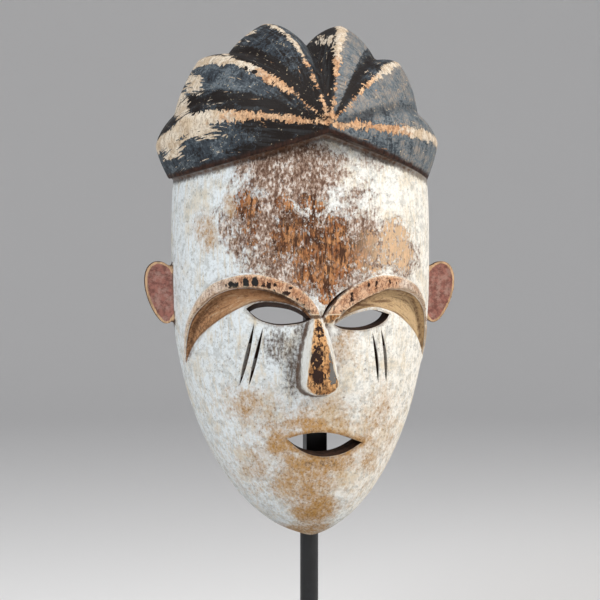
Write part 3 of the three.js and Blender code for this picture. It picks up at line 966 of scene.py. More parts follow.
@dataclass(frozen=True)
class Ear:
    """An ear: a flat egg-shaped disc in front of a smaller stem that grows out of the head's edge."""

    half_width: float = 11.3
    half_height: float = 21.3
    thick: float = 6.5
    middle: float = 94.6
    back: float = 6.0
    top_wider: float = 0.2
    lean: float = 0.13
    heights: tuple[float, float] = (164.0, 163.5)
    stem_scale: float = 0.62
    stem_shift: float = 5.0
    steps: int = 64

    def outline(self, side: Side, scale: float, x: float) -> Array:
        """The egg's corners as [x, height] points."""
        turn = 2 * np.pi * np.arange(self.steps) / self.steps
        wide = self.half_width * (1.0 + self.top_wider * np.sin(turn))
        rise = scale * self.half_height * np.sin(turn)
        across = x + scale * wide * np.cos(turn) + side.value * self.lean * rise
        return np.column_stack([across, self.heights[side is Side.RIGHT] + rise])

    def disc_outline(self, side: Side) -> Array:
        """The front view of one ear's disc."""
        return self.outline(side, 1.0, side.value * self.middle)

    def solids(self, side: Side) -> list[bpy.types.Object]:
        """The disc and the stem of one ear."""
        stem = self.outline(side, self.stem_scale, side.value * (self.middle - self.stem_shift))
        return [
            forward_prism(f"ear_{side.name}", self.disc_outline(side), self.back, self.back + self.thick),
            forward_prism(f"stem_{side.name}", stem, 0.0, self.back + 1.0),
        ]


@dataclass(frozen=True)
class ToolMarks:
    """Shallow scoops that a gouge leaves, longest up and down."""

    width: float = 11.0
    length: float = 26.0
    between: float = 0.6
    seed: int = 7

    def tree(self) -> bpy.types.NodeTree:
        """Geometry nodes that sink a surface into scoops, as deep as its attribute says.

        Returns:
            The tree. The attribute "scoop_depth" holds the depth at each point, in metres.
        """
        tree = geometry_tree("tool_marks", {
            "Geometry": ("Body",), "Float": ("Width", "Length"), "Int": ("Seed",), "Material": ("Material",),
        }, "Carved")
        graph = Graph(tree)
        given = graph.given()
        size = graph.combine(given["Width"], given["Width"], given["Length"])
        cell = graph.value(
            "ShaderNodeTexVoronoi",
            {"Vector": graph.vector("DIVIDE", graph.value("GeometryNodeInputPosition"), size),
             "W": given["Seed"], "Scale": 1.0},
            "Distance", voronoi_dimensions="4D", feature="SMOOTH_F1",
        )
        rise = graph.math("MINIMUM", cell * cell - self.between, 0.0)
        sunk = {0: graph.value("GeometryNodeInputNormal"), "Scale": rise * graph.stored("scoop_depth")}
        offset = graph.value("ShaderNodeVectorMath", sunk, operation="SCALE")
        moved = graph.value("GeometryNodeSetPosition", {"Geometry": given["Body"], "Offset": offset})
        graph.hand_out("Carved", moved, given["Material"])
        return tree

    def cut_into(self, body: bpy.types.Object) -> None:
        """Sinks the marks into a body."""
        sizes = {"Width": self.width * MM, "Length": self.length * MM, "Seed": self.seed}
        set_inputs(body, self.tree(), sizes)
        baked(body)


@dataclass
class Mask:
    """The carved mask: one body from the head's form and everything that is cut on it.

    Its crests and valleys are known once the headdress is folded.
    """

    head: HeadForm = field(default_factory=HeadForm)
    brows: tuple[Brow, ...] = (LEFT_BROW, RIGHT_BROW)
    openings: tuple[Opening, ...] = OPENINGS
    scars: tuple[Groove, ...] = SCARS
    brow_groove: Groove = BROW_GROOVE
    nose: Nose = field(default_factory=Nose)
    headdress: Headdress = field(default_factory=Headdress)
    ear: Ear = field(default_factory=Ear)
    marks: ToolMarks = field(default_factory=ToolMarks)
    voxel: float = 1.36
    hollow_voxel: float = 3.0
    hollow_scoop: float = 2.4
    face_scoop: float = 0.7
    dish: float = 0.9
    dish_rim: float = 2.4
    dish_edge: float = 1.2
    dish_facing: float = 0.6
    dish_reach: float = 2.0
    sharp_degrees: float = 48.0
    crests: EdgeLines = field(init=False)
    valleys: EdgeLines = field(init=False)

    def build(self) -> bpy.types.Object:
        """Carves the mask.

        Returns:
            The finished piece.
        """
        body = self.rough_body()
        self.remesh(body, self.voxel)
        self.dish_ears(body)
        self.scoop(body, self.face_scoop)
        combine(body, self.cuts(), Join.CUT)
        body.data.shade_smooth()
        body.data.set_sharp_from_angle(angle=math.radians(self.sharp_degrees))
        Survey(self, self.crests, self.valleys).write(body)
        body.data.materials.clear()
        body.data.materials.append(MaskFinish().material())
        return body

    def rough_body(self) -> bpy.types.Object:
        """The head with its bands, sockets, nose, headdress and ears, still filled."""
        body = self.head.solid("mask_carving", 0.0)
        combine(body, [brow.band(self.head) for brow in self.brows], Join.ADD)
        combine(body, [brow.socket(self.head) for brow in self.brows], Join.CUT)
        fan = self.headdress.solid()
        self.crests, self.valleys = self.headdress.lines(fan)
        added = [self.nose.solid(self.head), fan]
        for side in Side:
            added.extend(self.ear.solids(side))
        return combine(body, added, Join.ADD)

    def cuts(self) -> list[bpy.types.Object]:
        """What is cut out of the even body: the gouged hollow, the openings and the grooves."""
        hollow = self.head.solid("hollow", self.head.wall, self.head.past_back)
        self.remesh(hollow, self.hollow_voxel)
        self.scoop(hollow, self.hollow_scoop)
        cut = [hollow]
        for tool in (*self.openings, *self.scars, self.brow_groove):
            cut.append(tool.solid(self.head))
        return cut

    def remesh(self, body: bpy.types.Object, voxel: float) -> None:
        """Divides a body evenly, which softens its edges as hand carving does."""
        modifier = body.modifiers.new("even", "REMESH")
        modifier.mode = "VOXEL"
        modifier.voxel_size = voxel * MM
        baked(body)

    def places(self, body: bpy.types.Object) -> tuple[Array, Array]:
        """The body's points in the mask's own frame and their normals."""
        return to_mask(numbers(body.data.vertices, "co", 3)), numbers(body.data.vertex_normals, "vector", 3)

    def dish_ears(self, body: bpy.types.Object) -> None:
        """Hollows each ear's face a little inside its rim."""
        places, normals = self.places(body)
        for side in Side:
            inside = inside_by(places[:, [0, 2]], self.ear.disc_outline(side))
            from_face = np.abs(places[:, 1] + self.ear.back + self.ear.thick)
            front = (normals[:, 1] < -self.dish_facing) & (from_face < self.dish_reach)
            rim = smooth_step(self.dish_rim - self.dish_edge, self.dish_rim + self.dish_edge, inside)
            places[:, 1] += self.dish * rim * front
        body.data.vertices.foreach_set("co", to_frame(places).ravel())
        body.data.update()

    def scoop(self, body: bpy.types.Object, depth: float) -> None:
        """Cuts tool marks of a depth into a body."""
        store(body.data, "scoop_depth", np.full(len(body.data.vertices), depth * MM))
        self.marks.cut_into(body)


class Wear(Enum):
    """What has happened to the surface in a patch. The value is the attribute's name."""

    RUBBED = "rubbed"
    THINNED = "thinned"
    STAINED = "stained"
    DARKENED = "smudged"
    PAINTED = "painted"
    GREYED = "greyed"
    CHALKED = "chalked"
    SCORCHED = "scorched"


@dataclass(frozen=True)
class Patch:
    """A soft oval patch of wear in the front view."""

    x: float
    height: float
    half_width: float
    half_height: float
    strength: float
    fades_from: float = 0.35
    fades_to: float = 1.5

    def amount(self, places: Array) -> Array:
        """How strongly each place is worn, from 0 to the patch's strength."""
        across = (places[:, 0] - self.x) / self.half_width
        up = (places[:, 2] - self.height) / self.half_height
        return self.strength * (1.0 - smooth_step(self.fades_from, self.fades_to, np.hypot(across, up)))


PATCHES = {
    Wear.RUBBED: (
        Patch(-47, 222, 9, 12, 0.92),
        Patch(-44, 205, 7, 12, 0.7),
        Patch(-24, 222, 8, 9, 0.82),
        Patch(-6, 222, 9, 10, 0.86),
        Patch(-13, 200, 27, 20, 0.95),
        Patch(6, 192, 22, 26, 1),
        Patch(-4, 176, 18, 13, 0.85),
        Patch(4, 164, 9, 9, 0.9),
        Patch(51, 199, 13, 17, 1),
        Patch(30, 192, 20, 16, 0.84),
        Patch(58, 188, 10, 12, 0.85),
    ),
    Wear.SCORCHED: (
        Patch(-16, 214, 22, 6, 0.95),
        Patch(-4, 208, 8, 18, 0.8),
        Patch(-6, 196, 40, 26, 0.45),
        Patch(-26, 196, 12, 16, 0.7),
        Patch(-2, 186, 14, 10, 0.62),
        Patch(-46, 213, 8, 6, 0.7),
    ),
    Wear.THINNED: (
        Patch(-18, 244, 42, 26, 1.05),
        Patch(20, 230, 26, 24, 0.58),
        Patch(34, 252, 26, 12, 0.5),
        Patch(-32, 206, 34, 34, 0.96),
        Patch(20, 200, 46, 28, 0.84),
        Patch(-4, 180, 50, 20, 0.88),
        Patch(60, 186, 16, 16, 0.7),
    ),
    Wear.STAINED: (
        Patch(2, 22, 17, 14, 1),
        Patch(-6, 40, 26, 18, 0.84),
        Patch(2, 54, 32, 10, 0.95),
        Patch(0, 90, 22, 10, 0.62),
        Patch(-26, 67, 9, 11, 0.95),
        Patch(-8, 80, 20, 6, 0.86),
        Patch(20, 79, 16, 4, 0.6),
        Patch(36, 66, 7, 9, 0.6),
        Patch(-45, 93, 12, 12, 0.72),
        Patch(-37, 48, 12, 10, 0.62),
        Patch(44, 84, 10, 18, 0.62),
        Patch(38, 52, 10, 12, 0.62),
        Patch(17, 131, 12, 18, 0.5),
        Patch(0, 5, 22, 7, 0.85),
        Patch(-4, 60, 56, 40, 0.56),
        Patch(-42, 92, 22, 18, 0.5),
        Patch(42, 70, 22, 40, 0.5),
        Patch(-71, 205, 8, 14, 0.7),
        Patch(-57, 222, 4, 12, 0.6),
    ),
    # Grey-brown darkening: left of the nose under the left eye, in the right socket, right of the nose and
    # below the mouth
    Wear.DARKENED: (
        Patch(-27, 131, 13, 15, 0.92),
        Patch(-18, 117, 6, 24, 1),
        Patch(-13.5, 141, 6, 7, 0.9),
        Patch(-20, 104, 9, 8, 0.5),
        Patch(27, 157.2, 12, 1.1, 1),
        Patch(44, 159.4, 9, 1.1, 1),
        Patch(4, 52.5, 17, 3.5, 0.62),
        Patch(12, 140, 4, 8, 0.5),
    ),
    Wear.PAINTED: (
        Patch(-55.5, 170.5, 4.5, 2.4, 0.9),
        Patch(-48, 172, 1.9, 4, 1),
        Patch(-42.4, 172.8, 2.4, 3.8, 1),
        Patch(-37, 170.5, 2.2, 0.9, 0.85),
        Patch(-33.8, 170.2, 1.5, 2.8, 0.95),
        Patch(-30.1, 170.6, 1.1, 1.6, 0.85),
        Patch(-30, 166.7, 1.2, 1.1, 0.85),
        Patch(-22.8, 165.2, 3.2, 1.7, 0.95),
        Patch(-20.3, 168.4, 1.2, 1, 0.85),
        Patch(-15.2, 161.6, 1.6, 1.2, 0.8),
        Patch(-12, 157.8, 1.3, 1.6, 0.8),
        Patch(-8, 153, 1.3, 2.6, 0.8),
        Patch(14.3, 153.3, 2.2, 1.1, 0.95),
        Patch(20, 162.5, 1.4, 3.2, 0.85),
        Patch(31.5, 171, 1.2, 3, 0.7),
        Patch(37, 170.5, 1, 3.4, 0.7),
        Patch(47, 171.5, 1, 3, 0.62),
        Patch(-1.8, 140, 2.2, 8, 0.66),
        Patch(-4.6, 124, 4.2, 9, 0.86),
        Patch(-3.6, 112, 4.6, 6.5, 0.95),
        Patch(-41.2, 308.2, 2, 1.6, 1),
        Patch(-46, 310.5, 1.2, 2, 0.9),
    ),
    Wear.GREYED: (
        Patch(4.4, 124, 1.6, 7, 0.9),
        Patch(5.8, 114, 3, 8.5, 1),
    ),
    Wear.CHALKED: (
        Patch(-84, 289, 4.5, 20, 0.86),
        Patch(-76, 303, 5, 9, 0.86),
        Patch(-78, 269, 14, 5, 0.82),
        Patch(-91, 260, 8, 8, 0.82),
        Patch(-55, 325, 3.5, 5, 0.9),
        Patch(-47, 332.5, 4, 4, 0.9),
        Patch(-38, 338.5, 5, 3, 0.9),
        Patch(11, 331, 6, 5, 0.6),
    ),
}


@dataclass(frozen=True)
class Survey:
    """Measures the finished body and writes down, point by point, what the finishes need to know.

    A passage or a facing is where a measure starts and where it is full.
    """

    mask: Mask
    crests: EdgeLines
    valleys: EdgeLines
    cut_band: float = 0.25
    disc_band: float = 0.4
    stem_band: float = 0.3
    around: float = 2.0
    way_apart: float = 40.0
    ridge_rounds: int = 2
    wall_passage: Point = (3.0, 1.2)
    back_passage: Point = (-0.8, -0.2)
    tone_passage: Point = (0.3, 0.75)
    proud_passage: Point = (0.8, 2.0)
    nose_front_facing: Point = (0.62, 0.8)
    nose_left_facing: Point = (0.35, 0.6)
    ear_facing: Point = (0.55, 0.75)

    def write(self, body: bpy.types.Object) -> None:
        """Stores every measure as an attribute of the body."""
        places, normals = self.mask.places(body)
        front = places[:, [0, 2]]
        below = self.mask.head.depth_below(places)
        starts, full = (self.mask.head.wall - short for short in self.wall_passage)
        values = {
            "below": below,
            "inner": smooth_step(starts, full, below),
            "back": smooth_step(*self.back_passage, places[:, 1]),
            "ridge": self.ridge(body, places, normals),
            "fan": self.above_border(places),
            **self.pleats(places),
            **self.outlines(front),
            **self.nose(places, normals, below),
            **self.ears(places, normals),
        }
        for wear in Wear:
            values[wear.value] = np.max([patch.amount(places) for patch in PATCHES[wear]], axis=0)
        for name, value in values.items():
            store(body.data, name, value)

    def above_border(self, places: Array) -> Array:
        """How far places lie above the headdress's lower border in the front view."""
        fan = self.mask.headdress
        x, z = places[:, 0] - fan.x, places[:, 2] - (fan.height - fan.lip)
        right, left = math.radians(fan.edges[0].angle), math.radians(fan.edges[-1].angle)
        over_right = z * math.cos(right) - x * math.sin(right)
        over_left = -z * math.cos(left) + x * math.sin(left)
        return np.where(x > 0, over_right, over_left)

    def pleats(self, places: Array) -> dict[str, Array]:
        """The nearest crest and valley: wear, distances, way along and the flank's tone, which is partly
        painted light and shade.
        """
        fan = self.mask.headdress
        crest, crest_distance = self.crests.nearest(places)
        _, valley_distance = self.valleys.nearest(places)
        edge = np.round(crest[:, 4]).astype(int)
        half_width = np.zeros(len(places))
        for i, pleat in enumerate(fan.edges):
            if pleat.wear:
                way, width = np.array(pleat.wear).T
                half_width[edge == i] = np.interp(crest[edge == i, 3], way, width)
        heart = np.array([fan.x, fan.height])
        here = np.arctan2(places[:, 2] - heart[1], places[:, 0] - heart[0])
        there = np.arctan2(crest[:, 2] - heart[1], crest[:, 0] - heart[0])
        turned = (here - there + np.pi) % (2 * np.pi) - np.pi
        flank = np.clip(np.where(turned > 0, edge, edge - 1), 0, len(fan.outer_paint_and_shade_tones) - 1)
        outwards = smooth_step(*self.tone_passage, crest[:, 3])
        inner, outer = np.array(fan.inner_paint_and_shade_tones)[flank], np.array(fan.outer_paint_and_shade_tones)[flank]
        return {
            "crest_wear": half_width - crest_distance,
            "crest_far": crest_distance * np.sign(turned),
            "crest_way": crest[:, 5] + self.way_apart * edge,
            "fan_out": crest[:, 3],
            "valley": valley_distance,
            # The flank's tone: partly paint colour, partly painted light and shade
            "tone": inner + (outer - inner) * outwards,
        }

    def outlines(self, front: Array) -> dict[str, Array]:
        """How far places lie inside the bands, sockets, openings and scars in the front view."""
        mask = self.mask
        opening = inside_any(front, (cut.outline() for cut in mask.openings))
        scar = inside_any(front, (cut.outline() for cut in (*mask.scars, mask.brow_groove)))
        return {
            "band": inside_any(front, (brow.band_outline() for brow in mask.brows)),
            "socket": inside_any(front, (brow.socket_outline() for brow in mask.brows)),
            "opening": opening,
            "cut": (opening > -self.cut_band).astype(float),
            "scar": (scar > -self.cut_band).astype(float),
            "nose_foot": inside_by(front, mask.nose.outline()),
        }

    def nose(self, places: Array, normals: Array, below: Array) -> dict[str, Array]:
        """The nose's flat front and its left side."""
        nose = self.mask.nose
        x, z = places[:, 0] - nose.wing_x, places[:, 2]
        level = (z > nose.bottom_height - self.around) & (z < nose.root_height + self.around)
        near = level & (np.abs(x) < nose.half_width + 3 * self.around)
        proud = near * smooth_step(*self.proud_passage, -below)
        return {
            "nose_front": proud * smooth_step(*self.nose_front_facing, -normals[:, 1]),
            "nose_left": proud * smooth_step(*self.nose_left_facing, -normals[:, 0]),
        }

    def ears(self, places: Array, normals: Array) -> dict[str, Array]:
        """How far places lie inside an ear's disc, and the ears' and stems' region."""
        ear, head = self.mask.ear, self.mask.head
        disc = inside_any(places[:, [0, 2]], (ear.disc_outline(side) for side in Side))
        z = places[:, 2]
        beside = np.abs(places[:, 0] - head.middle_at(z)) > head.half_width_at(z, 0.0) - self.stem_band
        level = (np.abs(z - ear.heights[0]) < ear.half_height + self.around) & beside
        face = level * smooth_step(*self.ear_facing, -normals[:, 1]) * (disc > -self.disc_band)
        return {"ear": level.astype(float), "ear_disc": disc, "ear_face": face}

    def ridge(self, body: bpy.types.Object, places: Array, normals: Array) -> Array:
        """How sharply the surface bends: over 0 on edges, under 0 in creases."""
        count = len(places)
        start, end = numbers(body.data.edges, "vertices", 2, int).T
        along = places[end] - places[start]
        length = np.maximum(np.linalg.norm(along, axis=1), TINY)
        bend = np.zeros(count)
        sharing = np.zeros(count)
        for here, sign in ((start, 1.0), (end, -1.0)):
            slope = -sign * np.einsum("ij,ij->i", normals[here], along) / length
            bend += np.bincount(here, slope, count)
            sharing += np.bincount(here, minlength=count)
        bend /= np.maximum(sharing, 1)
        for _ in range(self.ridge_rounds):
            around = np.bincount(start, bend[end], count) + np.bincount(end, bend[start], count)
            bend = (bend + around / np.maximum(sharing, 1)) / 2
        return bend


class Coat(NamedTuple):
    """A finish's sockets: its colour and its height in millimetres."""

    colour: Any
    height: Any


def tone(code: str) -> tuple[float, float, float, float]:
    """A colour of light from its screen code."""
    parts = [int(code[i:i + 2], 16) / 255 for i in (1, 3, 5)]
    linear = [p / 12.92 if p <= 0.04045 else ((p + 0.055) / 1.055) ** 2.4 for p in parts]
    return linear[0], linear[1], linear[2], 1.0


class Dresser(Graph):
    """A graph for a material, with noises sized in millimetres and coats laid over each other.

    Layers of noise finer than the finest size, in millimetres, are left out.
    """

    finest: float = 0.35

    def __init__(self, material: bpy.types.Material) -> None:
        """Starts the material's tree with the object's coordinates."""
        material.use_nodes = True
        super().__init__(material.node_tree)
        self.place = self.value("ShaderNodeTexCoord", output="Object")
        self.known: dict[str, Value] = {}

    def read(self, given: Any) -> Any:
        """What a text stands for: a colour's screen code or a measure's name. Anything else stays."""
        if not isinstance(given, str):
            return given
        return tone(given) if given.startswith("#") else self.measure(given)

    def node(self, kind: str, inputs: dict[Any, Any] | None = None, **settings: Any) -> bpy.types.Node:
        """Adds a node, as any graph does, and reads what its inputs give as text."""
        read = {key: self.read(value) for key, value in (inputs or {}).items()}
        return super().node(kind, read, **settings)

    def measure(self, name: str) -> Value:
        """A measure that the survey wrote on the mesh."""
        if name not in self.known:
            self.known[name] = self.value("ShaderNodeAttribute", output="Fac", attribute_name=name,
                                          attribute_type="GEOMETRY")
        return self.known[name]

    def noise(self, size: float, detail: float = 4.0, roughness: float = 0.6, distortion: float = 0.0,
              stretch: tuple[float, float, float] = (1.0, 1.0, 1.0), vector: Any = None,
              shift: float = 0.0) -> Value:
        """Soft noise.

        Args:
            size: The size of its blotches, in millimetres.
            detail: How many finer layers it has.
            roughness: How strong they are.
            distortion: How much it is twisted.
            stretch: How much longer the blotches are along each axis.
            vector: Coordinates in millimetres, or None for the object's own.
            shift: Moves the pattern, so that two noises of a size differ.

        Returns:
            A value round 0.5.
        """
        unit = 1.0 if vector else MM
        detail = min(detail, math.log2(size / self.finest))
        placed = self.value("ShaderNodeMapping", {
            "Vector": vector or self.place,
            "Location": (shift, shift * 0.7, -shift * 1.3),
            "Scale": [1.0 / (unit * size * s) for s in stretch],
        })
        return self.value("ShaderNodeTexNoise", {
            "Vector": placed, "Scale": 1.0, "Detail": detail, "Roughness": roughness,
            "Distortion": distortion,
        })

    def across_and_up(self) -> tuple[Value, Value]:
        """The object's own x and z in millimetres."""
        parts = self.node("ShaderNodeSeparateXYZ", {0: self.place}).outputs
        return Value(self, parts["X"]) * (1.0 / MM), Value(self, parts["Z"]) * (1.0 / MM)

    def mix(self, factor: Any, low: Any, high: Any) -> Value:
        """A colour between two others."""
        return self.value("ShaderNodeMix", {0: factor, 6: low, 7: high}, 2, data_type="RGBA")

    def stained(self, colour: Value, *stains: tuple[Value, float, float, float, str]) -> Value:
        """A colour with stains over it.

        Args:
            colour: The colour underneath.
            *stains: For each stain the value that places it, the value that leaves the surface clean, the one
                that stains it fully, how strong it then is, and its colour.

        Returns:
            The stained colour.
        """
        for value, clean, full, strength, code in stains:
            colour = self.mix(self.ramp(value, clean, full) * strength, colour, code)
        return colour

    def blend(self, factor: Any, low: Any, high: Any) -> Value:
        """A number between two others."""
        return self.value("ShaderNodeMix", {0: factor, 2: low, 3: high}, data_type="FLOAT")

    def lay(self, under: Coat, over: Coat, factor: Any) -> Coat:
        """One coat over another where the factor is 1."""
        colour = self.mix(factor, under.colour, over.colour)
        return Coat(colour, self.blend(factor, under.height, over.height))

    def tinted(self, coat: Coat, factor: Any, code: str) -> Coat:
        """A coat with its colour turned towards another one."""
        return coat._replace(colour=self.mix(factor, coat.colour, code))

    def flat(self, code: str, spread: float, shift: float = 0.0,
             stretch: tuple[float, float, float] = (1.0, 1.0, 4.0), size: float = 2.5) -> Coat:
        """A worn stain of one colour, made lighter and darker by streaks."""
        streak = self.noise(size, 6.0, 0.7, 0.0, stretch, shift=shift)
        red, green, blue, _ = tone(code)
        darker = (red * (1 - spread), green * (1 - spread), blue * (1 - spread), 1.0)
        lighter = tuple(min(1.0, c * (1 + spread)) for c in (red, green, blue)) + (1.0,)
        return Coat(self.mix(self.ramp(streak, 0.36, 0.64), darker, lighter), streak * 0.25)

    def ragged(self, amount: Any, spread: float, low: float, high: float, size: float, shift: float,
               grain: float = 0.0) -> Value:
        """A mask with a broken edge: a soft amount moved up and down by noise, then cut off.

        Args:
            amount: How strong the wear is, from 0 to 1.
            spread: How far the noise moves it.
            low: The moved amount that is still untouched.
            high: The moved amount that is fully worn.
            size: The size of the noise's blotches, in millimetres.
            shift: Moves the noise.
            grain: How far a second noise of fine grains moves it.

        Returns:
            A value from 0 to 1.
        """
        moved = self.read(amount) + (self.noise(size, 6.0, 0.68, shift=shift) - 0.5) * spread
        if grain:
            fine = self.noise(1.7, 3.0, 0.65, 0.0, (1.0, 1.0, 1.5), shift=shift + 0.5)
            moved = moved + (fine - 0.5) * grain
        return self.ramp(moved, low, high)

    def finish(self, coat: Coat, roughness: Any, bump: float, specular: float = 0.2) -> None:
        """Connects a coat to the surface.

        Args:
            coat: The coat. Its height is in millimetres.
            roughness: The roughness.
            bump: The bump's strength.
            specular: The specular level.
        """
        normal = self.value("ShaderNodeBump", {"Height": coat.height * MM, "Strength": bump, "Distance": 1.0})
        shader = self.value("ShaderNodeBsdfPrincipled", {
            "Base Color": coat.colour, "Roughness": roughness, "Normal": normal,
            "Specular IOR Level": specular,
        })
        self.node("ShaderNodeOutputMaterial", {"Surface": shader})


@dataclass(frozen=True)
class BareWood:
    """Light wood rubbed bare, with its grain up and down."""

    pale: str = "#c08859"
    tan: str = "#8c5733"
    dark: str = "#3d2417"
    shift: float = 0.0
    grain: float = 7.0
    streaks: float = 0.95

    def coat(self, graph: Dresser) -> Coat:
        """The wood's coat."""
        cloud = graph.noise(8.0, 4.0, shift=self.shift)
        grain = graph.noise(1.9, 6.0, 0.7, 0.3, (1.0, 1.0, self.grain), shift=self.shift)
        pores = graph.noise(1.3, 4.0, 0.66, 0.0, (1.0, 1.0, self.grain / 3), shift=self.shift + 3.0)
        colour = graph.stained(
            graph.mix(graph.ramp(cloud, 0.38, 0.62), self.pale, self.tan),
            (grain, 0.44, 0.62, self.streaks, self.dark), (pores, 0.52, 0.64, self.streaks, self.dark),
        )
        return Coat(colour, grain * -0.3 + pores * -0.25)


@dataclass(frozen=True)
class WhiteClay:
    """White clay rubbed over the face: cool on the left, cream on the right, mottled, with brown specks."""

    cool: str = "#dbe0e2"
    warm: str = "#eeeae1"
    grey: str = "#a9aaa6"
    cream: str = "#cdbb9b"
    speck: str = "#6b5442"

    def coat(self, graph: Dresser) -> Coat:
        """The clay's coat."""
        x, _ = graph.across_and_up()
        cloud = graph.noise(26.0, 6.0, 0.62)
        mottle = graph.noise(5.5, 7.0, 0.75, shift=5.0)
        grain = graph.noise(1.7, 3.0, 0.6, shift=9.0)
        streak = graph.noise(2.0, 5.0, 0.65, 0.0, (1.0, 1.0, 11.0), shift=2.0)
        specks = graph.noise(1.3, 1.5, 0.5, shift=14.0)
        side = x + (cloud - 0.5) * 160.0
        colour = graph.stained(
            graph.mix(graph.ramp(side, -30.0, 45.0), self.cool, self.warm),
            (cloud, 0.5, 0.66, 0.55, self.cream), (mottle, 0.46, 0.64, 0.6, self.grey),
            (streak, 0.5, 0.66, 0.45, self.cream), (grain, 0.48, 0.66, 0.35, self.grey),
        )
        sparse = graph.ramp(specks, 0.64, 0.7) * graph.ramp(mottle, 0.46, 0.56)
        colour = graph.mix(sparse * 0.55, colour, self.speck)
        return Coat(colour, grain * 0.14 + streak * 0.1 - sparse * 0.3)


@dataclass(frozen=True)
class ThinClay:
    """Clay worn thin: pale grains on stained wood."""

    brown: str = "#62483a"
    mauve: str = "#967e6e"
    white: str = "#d2c8bf"
    pit: str = "#4a3327"

    def coat(self, graph: Dresser) -> Coat:
        """The thin clay's coat."""
        grain = graph.noise(1.8, 4.0, 0.7, 0.0, (1.0, 1.0, 1.7), shift=21.0)
        cloud = graph.noise(9.0, 5.0, 0.66, shift=17.0)
        held = grain + (cloud - 0.5) * 0.55
        colour = graph.mix(graph.ramp(held, 0.36, 0.52), self.brown, self.mauve)
        colour = graph.mix(graph.ramp(held, 0.5, 0.68), colour, self.white)
        pits = graph.noise(1.5, 2.0, 0.6, 0.0, (1.0, 1.0, 2.2), shift=23.0)
        colour = graph.mix(graph.ramp(pits, 0.54, 0.68) * 0.8, colour, self.pit)
        return Coat(colour, grain * 0.3 - pits * 0.3)


@dataclass(frozen=True)
class HeaddressPaint:
    """Worn black paint: brown-black near the fan's point, blue-grey and grey on the outer flanks, with
    painted light and shade on the flanks and painted shade in the valleys.
    """

    black: str = "#150d09"
    blue: str = "#353c43"
    slate: str = "#656d72"
    grey: str = "#8a827a"
    chip: str = "#cdbb9d"

    def coat(self, graph: Dresser) -> Coat:
        """The paint's coat."""
        far = graph.combine("crest_far", "crest_way", graph.measure("tone") * 9.0)
        brushed = graph.noise(1.5, 5.0, 0.66, 0.2, (8.0, 1.0, 8.0), vector=far)
        along = graph.noise(2.2, 4.0, 0.62, 0.3, (1.0, 14.0, 8.0), vector=far, shift=7.0)
        cloud = graph.noise(10.0, 6.0, 0.7, shift=31.0)
        fine = graph.noise(1.6, 4.0, 0.68, shift=33.0)
        # The flank's tone, partly painted light and shade, moves the paint with noise from black through blue
        # and slate to grey
        bloom_and_flank_shade = graph.measure("tone") + ((cloud - 0.5) * 2.2 + (fine - 0.5) * 1.5)
        colour = graph.mix(graph.ramp(bloom_and_flank_shade, 0.02, 0.5), self.black, self.blue)
        colour = graph.mix(graph.ramp(bloom_and_flank_shade, 0.55, 0.95), colour, self.slate)
        colour = graph.mix(graph.ramp(bloom_and_flank_shade, 0.9, 1.3), colour, self.grey)
        streaks = graph.ramp(along, 0.5, 0.64) * graph.ramp(bloom_and_flank_shade, 0.0, 0.6, 0.12, 0.6)
        colour = graph.mix(streaks, colour, self.slate)
        colour = graph.mix(graph.ramp(brushed, 0.5, 0.66) * 0.4, colour, self.black)
        # Painted shade: towards the valleys the paint turns black, less so on grey flanks
        valley_shade = graph.ramp("valley", 6.0, 1.0)
        dark = valley_shade * graph.ramp("tone", 0.5, 1.1, 1.0, 0.3)
        colour = graph.mix(dark * 0.85, colour, self.black)
        specks = graph.noise(1.5, 1.5, 0.5, shift=37.0)
        chips = graph.ramp(specks, 0.66, 0.72) * graph.ramp(cloud, 0.5, 0.58)
        colour = graph.mix(chips * 0.7, colour, self.chip)
        return Coat(colour, fine * 0.22 + along * 0.15)


